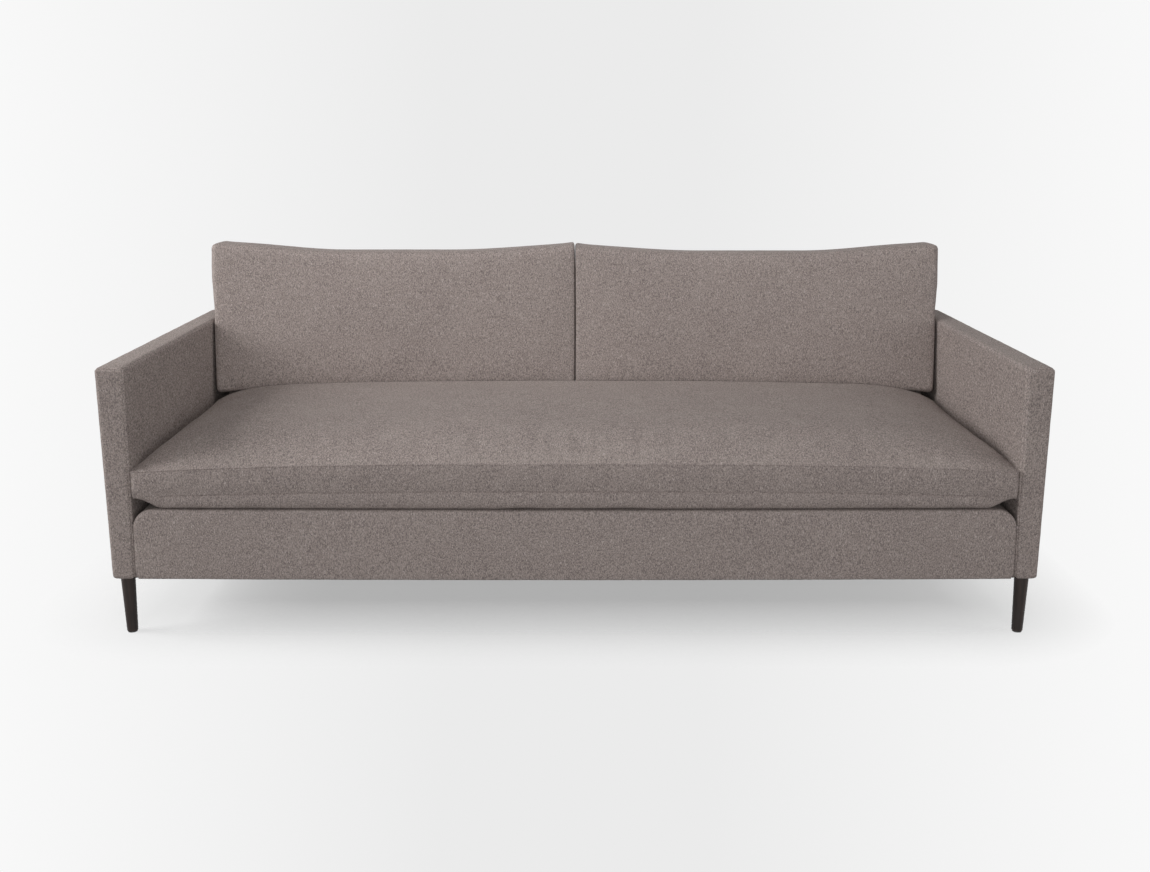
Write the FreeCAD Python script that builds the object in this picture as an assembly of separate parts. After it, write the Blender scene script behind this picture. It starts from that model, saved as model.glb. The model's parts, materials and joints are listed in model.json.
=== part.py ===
import FreeCAD, Part
import math
import os

os.makedirs("parts", exist_ok=True)

# A long upholstered sofa, in millimetres. X runs across it, +Y towards its back, +Z up.
# The origin is on the floor, halfway between the front of the border and the outside back.

# Overall sizes
overall_width = 2160.0
overall_depth = 970.0
arm_height = 650.0
leg_height = 150.0
base_height = 168.0

# Upholstered body
arm_width_top = 65.0
arm_width_foot = 54.0
back_thickness = 120.0
back_recline = 7.7
edge_radius = 10.0
foot_edge_radius = 7.0
back_corner_radius = 25.0
border_bulge = 10.0
bow_spans = 4
border_corner_radius = 45.0
border_edge_radius = 8.0
border_return = 110.0
turn_under = 40.0
hem_height = 30.0

# Layers over the frame
cover_thickness = 2.0
outside_wadding = 5.0
board_thickness = 2.0
board_corner_gap = 12.0
arm_top_padding = 12.0
arm_front_padding = 8.0
inside_back_padding = 26.0
seam_gap = 0.3
seam_from_edge = 6.0
rear_seam_from_side = 15.0

# Hardwood frame
arm_frame_thickness = 30.0
front_post_depth = 75.0
post_edge_radius = 16.0
arm_rail_height = 30.0
arm_stay_width = 60.0
rail_thickness = 28.0
side_rail_height = 90.0
spreader_width = 40.0
spreader_height = 80.0
spreader_spacing = 520.0
lower_back_rail_lift = 12.0
lower_back_rail_height = 70.0
top_back_rail_height = 70.0
back_stay_width = 30.0
back_stay_spacing = 520.0
corner_block_leg = 90.0
corner_block_height = 60.0
dowel_radius = 5.0
dowel_length = 48.0
dowel_play = 0.1
dowel_margin = 25.0

# Springs, deck and webbing
spring_count = 14
spring_edge_margin = 144.0
spring_wire_radius = 1.9
spring_bend_radius = 17.0
spring_width = 58.0
clip_length = 22.0
clip_depth = 16.0
clip_height = 7.0
tie_wire_radius = 1.0
hessian_thickness = 1.0
deck_padding_thickness = 35.7
webbing_count = 10
webbing_edge_margin = 141.0
webbing_width = 50.0
webbing_thickness = 1.5
webbing_lap = 45.0

# Legs and their hardware
leg_top_radius = 17.0
leg_foot_radius = 12.75
leg_inset_x = 19.0
leg_inset_y = 52.0
centre_leg_radius = 16.0
glide_radius = 11.0
glide_thickness = 4.0
bolt_radius = 4.0
bolt_in_leg = 45.0
bolt_in_frame = 38.0
bolt_play = 0.15
insert_radius = 6.0
insert_length = 20.0

# Seat cushion. Its seams are measured up from the deck.
seat_end_gap = 4.3
seat_cushion_front_bulge = 5.0
seat_boxing_bulge = 4.0
seat_rear_gap = 10.0
seat_seam_rise_mid = 111.0
seat_seam_rise_end = 91.0
seat_lower_seam_rise_mid = 32.0
seat_lower_seam_rise_end = 25.0
seat_belly_depth = 32.0
seat_crown = 58.0
seat_crown_shoulder = 236.0
seat_crown_least = 0.04
seat_crown_slope = 0.78
seat_end_lift = 19.0
seat_end_lift_length = 76.0
seat_station_steps = (16.0, 46.0, 86.0, 146.0, 236.0, 416.0, 716.0)
seat_wrap_thickness = 50.0
cushion_rest_gap = 0.3

# Back cushions. They sink into the crown of the seat cushion.
back_cushion_end_gap = 3.0
back_cushion_centre_gap = 3.0
back_cushion_depth = 152.25
back_cushion_sink = 34.0
back_cushion_height = 395.0
back_cushion_ear = 21.0
back_cushion_rear_gap = 6.0
back_cushion_bulge = 14.0
back_bulge_fade = 0.6
back_cushion_stations = 8
back_cushion_edge_radius = 20.0
back_cushion_end_radius = 16.0
back_cushion_top_radius = 42.0
imprint_gap = 2.3

# Points on the seat cushion's crown, as shares of its depth and of its rise
seat_shoulder_back = 0.09
seat_shoulder_rise = 0.62
seat_brow_back = 0.27
seat_loin_back = 0.84
seat_loin_rise = 0.95

# The middle of the curve under the seat cushion's front, as shares of its depth and height
seat_under_back = 0.25
seat_under_rise = 0.35

# Zips
zip_width = 6.0
zip_proud = 1.8
zip_play = 0.2
slider_length = 14.0
slider_width = 12.0
slider_height = 4.0
slider_play = 0.3
tab_length = 22.0
tab_width = 7.0
tab_thickness = 1.2
seat_zip_margin = 166.0
seat_zip_rise = 67.0
back_zip_margin = 105.25
back_zip_rise = 57.0

# Planes that several pieces share
half_width = overall_width / 2
back_y = overall_depth / 2
front_y = border_bulge - overall_depth / 2
deck_height = leg_height + base_height
recline_slope = math.tan(math.radians(back_recline))
frame_outer_x = half_width - cover_thickness - outside_wadding - board_thickness
frame_inner_x = frame_outer_x - arm_frame_thickness
lining_x = frame_inner_x - board_thickness
frame_front_y = front_y + cover_thickness + arm_front_padding
frame_back_y = back_y - cover_thickness - outside_wadding - board_thickness
frame_foot_z = leg_height + cover_thickness
frame_top_z = arm_height - cover_thickness - arm_top_padding
front_post_back_y = frame_front_y + front_post_depth
deck_fill_z = deck_height - cover_thickness - deck_padding_thickness
hessian_z = deck_fill_z - hessian_thickness
rail_top_z = hessian_z - seam_gap - clip_height
side_rail_top_z = frame_foot_z + side_rail_height
front_rail_back_y = frame_front_y + rail_thickness
lower_back_rail_foot = deck_height + lower_back_rail_lift

# How far a cutting shape runs past what it cuts, and how close two planes count as one
clear = 50.0
touch = 0.01


def arm_inner_x(z):
    foot_x = half_width - arm_width_foot
    rise = (z - leg_height) / (arm_height - leg_height)
    return foot_x - rise * (arm_width_top - arm_width_foot)


def inside_back_y(z):
    return back_y - back_thickness + (z - deck_height) * recline_slope


def webbing_y(z):
    return inside_back_y(z) + cover_thickness + inside_back_padding


def back_frame_y(z):
    return webbing_y(z) + webbing_thickness


rear_rail_front_y = back_frame_y(lower_back_rail_foot)
rear_rail_back_y = rear_rail_front_y + rail_thickness
lower_back_rail_top = lower_back_rail_foot + lower_back_rail_height
top_back_rail_foot = frame_top_z - top_back_rail_height

# Seams, ends and zips of the cushions
seat_seam_mid = deck_height + seat_seam_rise_mid
seat_seam_end = deck_height + seat_seam_rise_end
seat_lower_seam_mid = deck_height + seat_lower_seam_rise_mid
seat_lower_seam_end = deck_height + seat_lower_seam_rise_end
seat_half_length = arm_inner_x(seat_seam_end) - seat_end_gap
seat_rear_y = inside_back_y(deck_height) - seat_rear_gap
seat_foot_z = deck_height + cushion_rest_gap
seat_zip_length = 2 * (seat_half_length - seat_zip_margin)
seat_zip_height = deck_height + seat_zip_rise
back_cushion_foot = seat_seam_mid + seat_crown - back_cushion_sink
back_cushion_top = back_cushion_foot + back_cushion_height
back_cushion_rear_y = inside_back_y(back_cushion_foot) - back_cushion_rear_gap
back_cushion_front_y = back_cushion_rear_y - back_cushion_depth
back_cushion_inner_x = back_cushion_centre_gap / 2
back_cushion_outer_x = arm_inner_x(arm_height) - back_cushion_end_gap
back_zip_length = back_cushion_outer_x - back_cushion_inner_x - 2 * back_zip_margin
back_zip_height = back_cushion_foot + back_zip_rise
imprint_y = back_cushion_front_y - imprint_gap
imprint_z = back_cushion_foot - cushion_rest_gap


# Helpers
def point(x, y, z):
    return FreeCAD.Vector(x, y, z)


def box(x0, x1, y0, y1, z0, z1):
    return Part.makeBox(x1 - x0, y1 - y0, z1 - z0, point(x0, y0, z0))


# A board whose outline is seen from the side, as (y, z) corners
def prism_x(outline, x0, x1):
    corners = [point(x0, y, z) for y, z in outline]
    face = Part.Face(Part.makePolygon(corners + corners[:1]))
    return face.extrude(point(x1 - x0, 0, 0))


# A block whose outline is seen from above, as (x, y) corners
def prism_z(outline, z0, z1):
    corners = [point(x, y, z0) for x, y in outline]
    face = Part.Face(Part.makePolygon(corners + corners[:1]))
    return face.extrude(point(0, 0, z1 - z0))


def mirrored(shape):
    return shape.mirror(point(0, 0, 0), point(1, 0, 0))


def both_sides(shape):
    return [shape, mirrored(shape)]


def joined(shapes):
    whole = shapes[0]
    for other in shapes[1:]:
        whole = whole.fuse(other)
    return whole


def cut_by(shape, tools):
    for tool in tools:
        shape = shape.cut(tool)
    return shape


def edges_where(shape, test):
    return [edge for edge in shape.Edges if test(edge.BoundBox)]


def near(a, b):
    return abs(a - b) < touch


def save(name, shape):
    solids = shape.Solids
    Part.makeCompound(solids).exportStep("parts/" + name + ".step")
    sound = all(solid.isValid() and solid.Volume > 0 for solid in solids)
    print(name, len(solids), round(shape.Volume / 1e6, 3), "litres", "" if sound else "NOT SOUND")


# Frame
def make_front_rail():
    return box(-frame_inner_x, frame_inner_x, frame_front_y, front_rail_back_y, frame_foot_z, rail_top_z)


def make_rear_rail():
    return box(-frame_inner_x, frame_inner_x, rear_rail_front_y, rear_rail_back_y, frame_foot_z, rail_top_z)


def make_side_rail():
    return box(frame_inner_x, frame_outer_x, front_post_back_y, rear_rail_front_y,
               frame_foot_z, side_rail_top_z)


def make_front_post():
    return box(frame_inner_x, frame_outer_x, frame_front_y, front_post_back_y, frame_foot_z, frame_top_z)


def make_rear_post():
    outline = [
        (frame_back_y, frame_foot_z),
        (frame_back_y, frame_top_z),
        (back_frame_y(frame_top_z), frame_top_z),
        (rear_rail_front_y, lower_back_rail_foot),
        (rear_rail_front_y, frame_foot_z),
    ]
    post = prism_x(outline, frame_inner_x, frame_outer_x)
    corner = edges_where(post, lambda b: near(b.XMin, frame_outer_x) and near(b.YMin, frame_back_y)
                         and near(b.YMax, frame_back_y))
    return post.makeFillet(post_edge_radius, corner)


def make_arm_top_rail():
    rail_foot_z = frame_top_z - arm_rail_height
    outline = [
        (front_post_back_y, rail_foot_z),
        (front_post_back_y, frame_top_z),
        (back_frame_y(frame_top_z), frame_top_z),
        (back_frame_y(rail_foot_z), rail_foot_z),
    ]
    return prism_x(outline, frame_inner_x, frame_outer_x)


def make_arm_stay():
    middle = (front_post_back_y + rear_rail_front_y) / 2
    return box(frame_inner_x, frame_outer_x, middle - arm_stay_width / 2, middle + arm_stay_width / 2,
               side_rail_top_z, frame_top_z - arm_rail_height)


def make_spreaders():
    return [box(x - spreader_width / 2, x + spreader_width / 2, front_rail_back_y, rear_rail_front_y,
                frame_foot_z, frame_foot_z + spreader_height)
            for x in (-spreader_spacing, 0, spreader_spacing)]


def make_corner_blocks():
    foot_z = frame_foot_z + cover_thickness
    blocks = []
    for y, inward in ((front_rail_back_y, 1), (rear_rail_front_y, -1)):
        outline = [
            (frame_inner_x, y),
            (frame_inner_x - corner_block_leg, y),
            (frame_inner_x, y + inward * corner_block_leg),
        ]
        blocks += both_sides(prism_z(outline, foot_z, foot_z + corner_block_height))
    return blocks


def make_lower_back_rail():
    outline = [
        (back_frame_y(lower_back_rail_foot), lower_back_rail_foot),
        (back_frame_y(lower_back_rail_top), lower_back_rail_top),
        (back_frame_y(lower_back_rail_top) + rail_thickness, lower_back_rail_top),
        (back_frame_y(lower_back_rail_foot) + rail_thickness, lower_back_rail_foot),
    ]
    return prism_x(outline, -frame_inner_x, frame_inner_x)


def make_top_back_rail():
    outline = [
        (back_frame_y(top_back_rail_foot), top_back_rail_foot),
        (back_frame_y(frame_top_z), frame_top_z),
        (frame_back_y, frame_top_z),
        (frame_back_y, top_back_rail_foot),
    ]
    return prism_x(outline, -frame_inner_x, frame_inner_x)


def make_back_stays():
    outline = [
        (frame_back_y, frame_foot_z),
        (frame_back_y, top_back_rail_foot),
        (back_frame_y(top_back_rail_foot), top_back_rail_foot),
        (back_frame_y(lower_back_rail_top), lower_back_rail_top),
        (back_frame_y(lower_back_rail_top) + rail_thickness, lower_back_rail_top),
        (rear_rail_back_y, lower_back_rail_foot),
        (rear_rail_back_y, frame_foot_z),
    ]
    return [prism_x(outline, x - back_stay_width / 2, x + back_stay_width / 2)
            for x in (-back_stay_spacing, 0, back_stay_spacing)]


# Dowels join the rail ends to the posts. Each is (joint centre, direction along the dowel).
def dowel_places():
    places = []
    across = point(1, 0, 0)
    along = point(0, 1, 0)
    rail_mid = rail_thickness / 2
    arm_mid_x = (frame_inner_x + frame_outer_x) / 2
    for z in (frame_foot_z + dowel_margin, rail_top_z - dowel_margin):
        places.append((point(frame_inner_x, frame_front_y + rail_mid, z), across))
        places.append((point(frame_inner_x, rear_rail_front_y + rail_mid, z), across))
    for z in (lower_back_rail_foot + dowel_margin, lower_back_rail_top - dowel_margin):
        places.append((point(frame_inner_x, back_frame_y(z) + rail_mid, z), across))
    for z in (top_back_rail_foot + dowel_margin, frame_top_z - dowel_margin):
        places.append((point(frame_inner_x, (back_frame_y(z) + frame_back_y) / 2, z), across))
    for z in (frame_foot_z + dowel_margin, side_rail_top_z - dowel_margin):
        places.append((point(arm_mid_x, front_post_back_y, z), along))
        places.append((point(arm_mid_x, rear_rail_front_y, z), along))
    arm_rail_z = frame_top_z - arm_rail_height / 2
    places.append((point(arm_mid_x, front_post_back_y, arm_rail_z), along))
    places.append((point(arm_mid_x, back_frame_y(arm_rail_z), arm_rail_z), along))
    return places


def make_dowels(radius, length):
    dowels = []
    for centre, direction in dowel_places():
        start = centre - direction * (length / 2)
        dowels += both_sides(Part.makeCylinder(radius, length, start, direction))
    return dowels


# Springs
# Places evenly spaced across the sofa, the outer ones at a margin from the frame's sides
def places_across(count, margin):
    first = margin - frame_inner_x
    return [first - 2 * first * place / (count - 1) for place in range(count)]


def spring_rows():
    return places_across(spring_count, spring_edge_margin)


def spring_bar_count():
    front_bar_y = (frame_front_y + front_rail_back_y) / 2
    rear_bar_y = (rear_rail_front_y + rear_rail_back_y) / 2
    return int((rear_bar_y - front_bar_y) / (2 * spring_bend_radius)) + 1


def spring_bars():
    middle = (frame_front_y + rear_rail_back_y) / 2
    reach = (spring_bar_count() - 1) * 2 * spring_bend_radius
    return middle - reach / 2, middle + reach / 2


def spring_z():
    return rail_top_z + clip_height / 2


def make_spring():
    front_bar_y = spring_bars()[0]
    straight = spring_width / 2 - spring_bend_radius
    z = spring_z()
    edges = []
    for bar in range(spring_bar_count()):
        side = 1 if bar % 2 == 0 else -1
        y = front_bar_y + bar * 2 * spring_bend_radius
        edges.append(Part.LineSegment(point(-side * straight, y, z), point(side * straight, y, z)).toShape())
        if bar < spring_bar_count() - 1:
            bend = Part.Arc(point(side * straight, y, z),
                            point(side * (straight + spring_bend_radius), y + spring_bend_radius, z),
                            point(side * straight, y + 2 * spring_bend_radius, z))
            edges.append(bend.toShape())
    path = Part.Wire(edges)
    start = point(-straight, front_bar_y, z)
    section = Part.Wire(Part.makeCircle(spring_wire_radius, start, point(1, 0, 0)))
    return path.makePipeShell([section], True, False)


def make_springs():
    spring = make_spring()
    return [spring.translated(point(x, 0, 0)) for x in spring_rows()]


def make_clips():
    clips = []
    groove_radius = spring_wire_radius + seam_gap
    for x in spring_rows():
        for y in spring_bars():
            body = box(x - clip_length / 2, x + clip_length / 2, y - clip_depth / 2, y + clip_depth / 2,
                       rail_top_z, rail_top_z + clip_height)
            groove = Part.makeCylinder(groove_radius, 2 * clip_length,
                                       point(x - clip_length, y, spring_z()), point(1, 0, 0))
            clips.append(body.cut(groove))
    return clips


def make_tie_wires():
    z = spring_z() - spring_wire_radius - seam_gap - tie_wire_radius
    reach = spring_rows()[-1] + spring_width / 2
    front_bar_y, rear_bar_y = spring_bars()
    third = (rear_bar_y - front_bar_y) / 3
    return [Part.makeCylinder(tie_wire_radius, 2 * reach, point(-reach, front_bar_y + n * third, z),
                              point(1, 0, 0)) for n in (1, 2)]


def make_webbing():
    low_z = lower_back_rail_top - webbing_lap
    high_z = top_back_rail_foot + webbing_lap
    outline = [
        (webbing_y(low_z), low_z),
        (webbing_y(high_z), high_z),
        (back_frame_y(high_z), high_z),
        (back_frame_y(low_z), low_z),
    ]
    return [prism_x(outline, x - webbing_width / 2, x + webbing_width / 2)
            for x in places_across(webbing_count, webbing_edge_margin)]


# Upholstered body. The same shape, moved inwards, gives the inside of the covers.
def make_body(inset):
    width = half_width - inset
    front = front_y + inset
    back = back_y - inset
    foot = leg_height + inset
    top = arm_height - inset
    block = box(-width, width, front, back, foot, top)
    corners = edges_where(block, lambda b: near(b.YMin, back) and b.ZLength > clear)
    block = block.makeFillet(back_corner_radius - inset, corners)

    def well_outline(z):
        side = arm_inner_x(z) + inset
        rear = inside_back_y(z) + inset
        corners = [point(-side, front - clear, z), point(side, front - clear, z),
                   point(side, rear, z), point(-side, rear, z)]
        return Part.makePolygon(corners + corners[:1])

    well = Part.makeLoft([well_outline(foot - clear), well_outline(top + clear)], True, True)
    body = block.cut(well)

    def is_soft(b):
        on_top = near(b.ZMin, top) and near(b.ZMax, top)
        on_front = near(b.YMin, front) and near(b.YMax, front) and b.ZLength > clear
        return on_top or on_front

    def is_hem(b):
        on_foot = near(b.ZMin, foot) and near(b.ZMax, foot)
        side = near(b.XMax, width) or near(b.XMin, -width)
        return on_foot and (side or near(b.YMax, back) or near(b.YMin, front))

    body = body.makeFillet(edge_radius - inset, edges_where(body, is_soft))
    return body.makeFillet(foot_edge_radius - inset, edges_where(body, is_hem))


# The upholstered platform between the arms: its front is the border under the cushion.
def make_platform(inset):
    foot = leg_height + inset
    top = deck_height - inset
    side_foot = arm_inner_x(foot) - seam_gap - inset
    side_top = arm_inner_x(top) - seam_gap - inset
    far = back_y
    near_y = front_y - border_bulge - clear
    corners = [point(-side_foot, near_y, foot), point(side_foot, near_y, foot),
               point(side_top, near_y, top), point(-side_top, near_y, top)]
    face = Part.Face(Part.makePolygon(corners + corners[:1]))
    body = face.extrude(point(0, far - near_y, 0))
    shoulders = edges_where(body, lambda b: near(b.ZMin, top) and near(b.ZMax, top) and b.YLength > clear)
    body = body.makeFillet(border_corner_radius - inset, shoulders)

    reach = half_width
    spots = []
    for n in range(-bow_spans, bow_spans + 1):
        share = n / bow_spans
        bow_y = front_y + inset - border_bulge * (1 - share ** 2)
        spots.append(point(reach * share, bow_y, foot - clear))
    bow = Part.BSplineCurve()
    bow.interpolate(spots)
    back_corners = [point(reach, far, foot - clear), point(-reach, far, foot - clear)]
    outline = Part.Wire([bow.toShape(), Part.makePolygon([spots[-1]] + back_corners + [spots[0]])])
    plan = Part.Face(outline).extrude(point(0, 0, top - foot + 2 * clear))
    body = body.common(plan)
    rear = [
        (near_y - clear, foot - clear),
        (near_y - clear, top + clear),
        (inside_back_y(top + clear) - seam_gap, top + clear),
        (inside_back_y(foot - clear) - seam_gap, foot - clear),
    ]
    body = body.common(prism_x(rear, -reach, reach))
    lip = edges_where(body, lambda b: b.YMax < front_y + inset + border_bulge and b.ZMax > foot + clear)
    return body.makeFillet(border_edge_radius - inset, lip)


body_outside = make_body(0.0)
body_inside = make_body(cover_thickness)
platform_outside = make_platform(0.0)
platform_inside = make_platform(cover_thickness)


def make_dust_cover():
    reach = half_width - turn_under
    return box(-reach, reach, front_y + turn_under, back_y - turn_under, leg_height, frame_foot_z)


# Legs. Each is made at the origin and set down at its place.
def leg_places():
    x = half_width - leg_inset_x
    return {
        "front_leg_left": (-x, front_y + leg_inset_y),
        "front_leg_right": (x, front_y + leg_inset_y),
        "rear_leg_left": (-x, back_y - leg_inset_y),
        "rear_leg_right": (x, back_y - leg_inset_y),
        "centre_leg": (0.0, 0.0),
    }


def make_leg(top_radius, foot_radius):
    outline = [
        point(0, 0, glide_thickness),
        point(foot_radius, 0, glide_thickness),
        point(top_radius, 0, leg_height),
        point(0, 0, leg_height),
    ]
    face = Part.Face(Part.makePolygon(outline + outline[:1]))
    leg = face.revolve(point(0, 0, 0), point(0, 0, 1), 360)
    bore = Part.makeCylinder(bolt_radius + bolt_play, bolt_in_leg + clear,
                             point(0, 0, leg_height - bolt_in_leg))
    return leg.cut(bore)


def make_bolt():
    return Part.makeCylinder(bolt_radius, bolt_in_leg + bolt_in_frame,
                             point(0, 0, leg_height - bolt_in_leg))


def make_insert():
    sleeve = Part.makeCylinder(insert_radius, insert_length, point(0, 0, frame_foot_z))
    return sleeve.cut(Part.makeCylinder(bolt_radius + bolt_play, insert_length, point(0, 0, frame_foot_z)))


# The stepped hole up through the covers into the frame
def make_bolt_hole():
    wide = Part.makeCylinder(insert_radius, insert_length + cover_thickness, point(0, 0, leg_height))
    deep = Part.makeCylinder(bolt_radius + bolt_play, bolt_in_frame + cover_thickness,
                             point(0, 0, leg_height))
    return wide.fuse(deep)


def make_glide():
    return Part.makeCylinder(glide_radius, glide_thickness, point(0, 0, 0))


def at_legs(shape):
    return [shape.translated(point(x, y, 0)) for x, y in leg_places().values()]


# Zips. A zip is made along X on a plane at Y 0 that faces +Y, then tilted and set in its cushion.
def make_zip_chain(length):
    return box(-length / 2, length / 2, -cover_thickness, zip_proud, -zip_width / 2, zip_width / 2)


def make_zip_slot(length):
    half = length / 2 + zip_play
    tall = zip_width / 2 + zip_play
    return box(-half, half, -cover_thickness - zip_play, cover_thickness, -tall, tall)


# The slider straddles the chain at its right-hand end, and its pull tab hangs down.
def make_zip_slider(length):
    high = slider_play + slider_height
    x1 = length / 2
    x0 = x1 - slider_length
    shell = box(x0, x1, slider_play, high, -slider_width / 2, slider_width / 2)
    channel = box(x0 - clear, x1 + clear, -clear, zip_proud + slider_play,
                  -zip_width / 2 - slider_play, zip_width / 2 + slider_play)
    middle = (x0 + x1) / 2
    tab = box(middle - tab_width / 2, middle + tab_width / 2, high - tab_thickness, high,
              -slider_width / 2 - tab_length, 0)
    return shell.cut(channel).fuse(tab).removeSplitter()


def set_zip(shape, x, y, z, tilt):
    shape = shape.copy()
    shape.rotate(point(0, 0, 0), point(1, 0, 0), -tilt)
    return shape.translated(point(x, y, z))


# Seat cushion. An arc in a plane of constant X leaves its start at a slope and ends at a point.
def tangent_arc(start, slope, end):
    heading = math.atan(slope)
    dy = end.y - start.y
    dz = end.z - start.z
    chord = math.atan2(dz, dy)
    turn = 2 * (chord - heading)
    half_chord = math.hypot(dy, dz) / 2
    sagitta = half_chord * math.tan(turn / 4)
    middle = (start + end) / 2 + point(0, math.sin(chord), -math.cos(chord)) * sagitta
    return Part.Arc(start, middle, end).toShape(), math.tan(heading + turn)


# 1 inside the flat part, falling to 0 at the end like a quarter of an ellipse
def quarter_fall(distance, length):
    if distance <= 0:
        return 1.0
    return math.sqrt(max(0.0, 1 - (distance / length) ** 2))


def seat_section(x, inset):
    half = seat_half_length
    share = abs(x) / half
    blend = 1 - share ** 3
    crown_share = max(seat_crown_least,
                      quarter_fall(abs(x) - (half - seat_crown_shoulder), seat_crown_shoulder))
    end_fall = 1 - quarter_fall(abs(x) - (half - seat_end_lift_length), seat_end_lift_length)
    crown = seat_crown * crown_share
    front = front_y - seat_cushion_front_bulge * (1 - share ** 2) + inset
    rear = seat_rear_y - inset
    foot = seat_foot_z + seat_end_lift * end_fall + inset
    seam = seat_seam_end + (seat_seam_mid - seat_seam_end) * blend - inset
    lower = seat_lower_seam_end + (seat_lower_seam_mid - seat_lower_seam_end) * blend
    station = x - math.copysign(inset * share ** 9, x)

    def at(y, z):
        return point(station, y, z)

    depth = rear - front
    belly = at(front + seat_belly_depth, foot)
    low_seam = at(front, lower)
    top_seam = at(front, seam)
    shoulder = at(front + seat_shoulder_back * depth, seam + seat_shoulder_rise * crown)
    brow = at(front + seat_brow_back * depth, seam + crown)
    loin = at(front + seat_loin_back * depth, seam + seat_loin_rise * crown)
    rear_seam = at(rear, seam)
    rear_foot = at(rear, foot)
    under_middle = at(front + seat_belly_depth * seat_under_back, foot + (lower - foot) * seat_under_rise)
    boxing_middle = at(front - seat_boxing_bulge, (lower + seam) / 2)
    first, slope = tangent_arc(top_seam, seat_crown_slope * crown_share, shoulder)
    second, slope = tangent_arc(shoulder, slope, brow)
    third, slope = tangent_arc(brow, slope, loin)
    fourth, slope = tangent_arc(loin, slope, rear_seam)
    return Part.Wire([
        Part.LineSegment(rear_foot, belly).toShape(),
        Part.Arc(belly, under_middle, low_seam).toShape(),
        Part.Arc(low_seam, boxing_middle, top_seam).toShape(),
        first,
        second,
        third,
        fourth,
        Part.LineSegment(rear_seam, rear_foot).toShape(),
    ])


def make_seat_form(inset):
    half = seat_half_length
    stations = [-half] + [-half + step for step in seat_station_steps] + [0]
    stations += [half - step for step in reversed(seat_station_steps)] + [half]
    form = Part.makeLoft([seat_section(x, inset) for x in stations], True, False)
    floor = box(-half - clear, half + clear, front_y - clear, back_y, 0, seat_foot_z + inset)
    imprint = box(-half - clear, half + clear, imprint_y - inset, back_y, imprint_z - inset, arm_height)
    return form.cut(floor).cut(imprint)


def make_seat_core_region():
    half = seat_half_length
    core_front = front_y + seat_wrap_thickness
    core_top = imprint_z - cover_thickness - seam_gap
    return box(-half, half, core_front, back_y, 0, core_top)


# Back cushions. The right-hand one is made; the left-hand one is its mirror image.
def make_back_form(inset):
    inner_x = back_cushion_inner_x + inset
    outer_x = back_cushion_outer_x - inset
    half = (outer_x - inner_x) / 2
    middle_x = (inner_x + outer_x) / 2
    foot = back_cushion_foot + inset
    depth = back_cushion_depth - inset
    edge = back_cushion_edge_radius - inset
    crest = back_cushion_top_radius - inset
    edge_bend = edge * (1 - math.sqrt(0.5))
    crest_bend = crest * (1 - math.sqrt(0.5))

    def section(x):
        share = (x - middle_x) / half
        top = back_cushion_top + back_cushion_ear * share ** 2 - inset
        bulge = back_cushion_bulge * (1 - back_bulge_fade * share ** 2)

        def at(back, z):
            return point(x, back_cushion_front_y + back + (z - back_cushion_foot) * recline_slope, z)

        return Part.Wire([
            Part.LineSegment(at(depth, foot), at(inset + edge, foot)).toShape(),
            Part.Arc(at(inset + edge, foot), at(inset + edge_bend, foot + edge_bend),
                     at(inset, foot + edge)).toShape(),
            Part.Arc(at(inset, foot + edge), at(inset - bulge, (foot + top) / 2),
                     at(inset, top - crest)).toShape(),
            Part.Arc(at(inset, top - crest), at(inset + crest_bend, top - crest_bend),
                     at(inset + crest, top)).toShape(),
            Part.LineSegment(at(inset + crest, top), at(depth - crest, top)).toShape(),
            Part.Arc(at(depth - crest, top), at(depth - crest_bend, top - crest_bend),
                     at(depth, top - crest)).toShape(),
            Part.LineSegment(at(depth, top - crest), at(depth, foot)).toShape(),
        ])

    stations = [inner_x + 2 * half * n / back_cushion_stations for n in range(back_cushion_stations + 1)]
    form = Part.makeLoft([section(x) for x in stations], True, False)
    ends = edges_where(form, lambda b: b.XLength < seam_gap)
    return form.makeFillet(back_cushion_end_radius - inset, ends)


# Frame pieces, with their dowel holes and the holes for the leg bolts
dowel_holes = make_dowels(dowel_radius + dowel_play, dowel_length + 2 * dowel_play)
bolt_holes = at_legs(make_bolt_hole())
frame = {
    "front_rail": make_front_rail(),
    "rear_rail": make_rear_rail(),
    "side_rail_right": make_side_rail(),
    "front_post_right": make_front_post(),
    "rear_post_right": make_rear_post(),
    "arm_top_rail_right": make_arm_top_rail(),
    "back_lower_rail": make_lower_back_rail(),
    "back_top_rail": make_top_back_rail(),
}
for name, shape in frame.items():
    shape = cut_by(shape, dowel_holes + bolt_holes)
    save(name, shape)
    if name.endswith("_right"):
        save(name.replace("_right", "_left"), mirrored(shape))

spreaders = [cut_by(shape, bolt_holes) for shape in make_spreaders()]
save("seat_spreaders", Part.makeCompound(spreaders))
save("corner_blocks", Part.makeCompound(make_corner_blocks()))
save("arm_stays", Part.makeCompound(both_sides(make_arm_stay())))
save("back_stays", Part.makeCompound(make_back_stays()))
save("frame_dowels", Part.makeCompound(make_dowels(dowel_radius, dowel_length)))

# Suspension
save("seat_springs", Part.makeCompound(make_springs()))
save("spring_clips", Part.makeCompound(make_clips()))
save("spring_tie_wires", Part.makeCompound(make_tie_wires()))
save("back_webbing", Part.makeCompound(make_webbing()))

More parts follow.
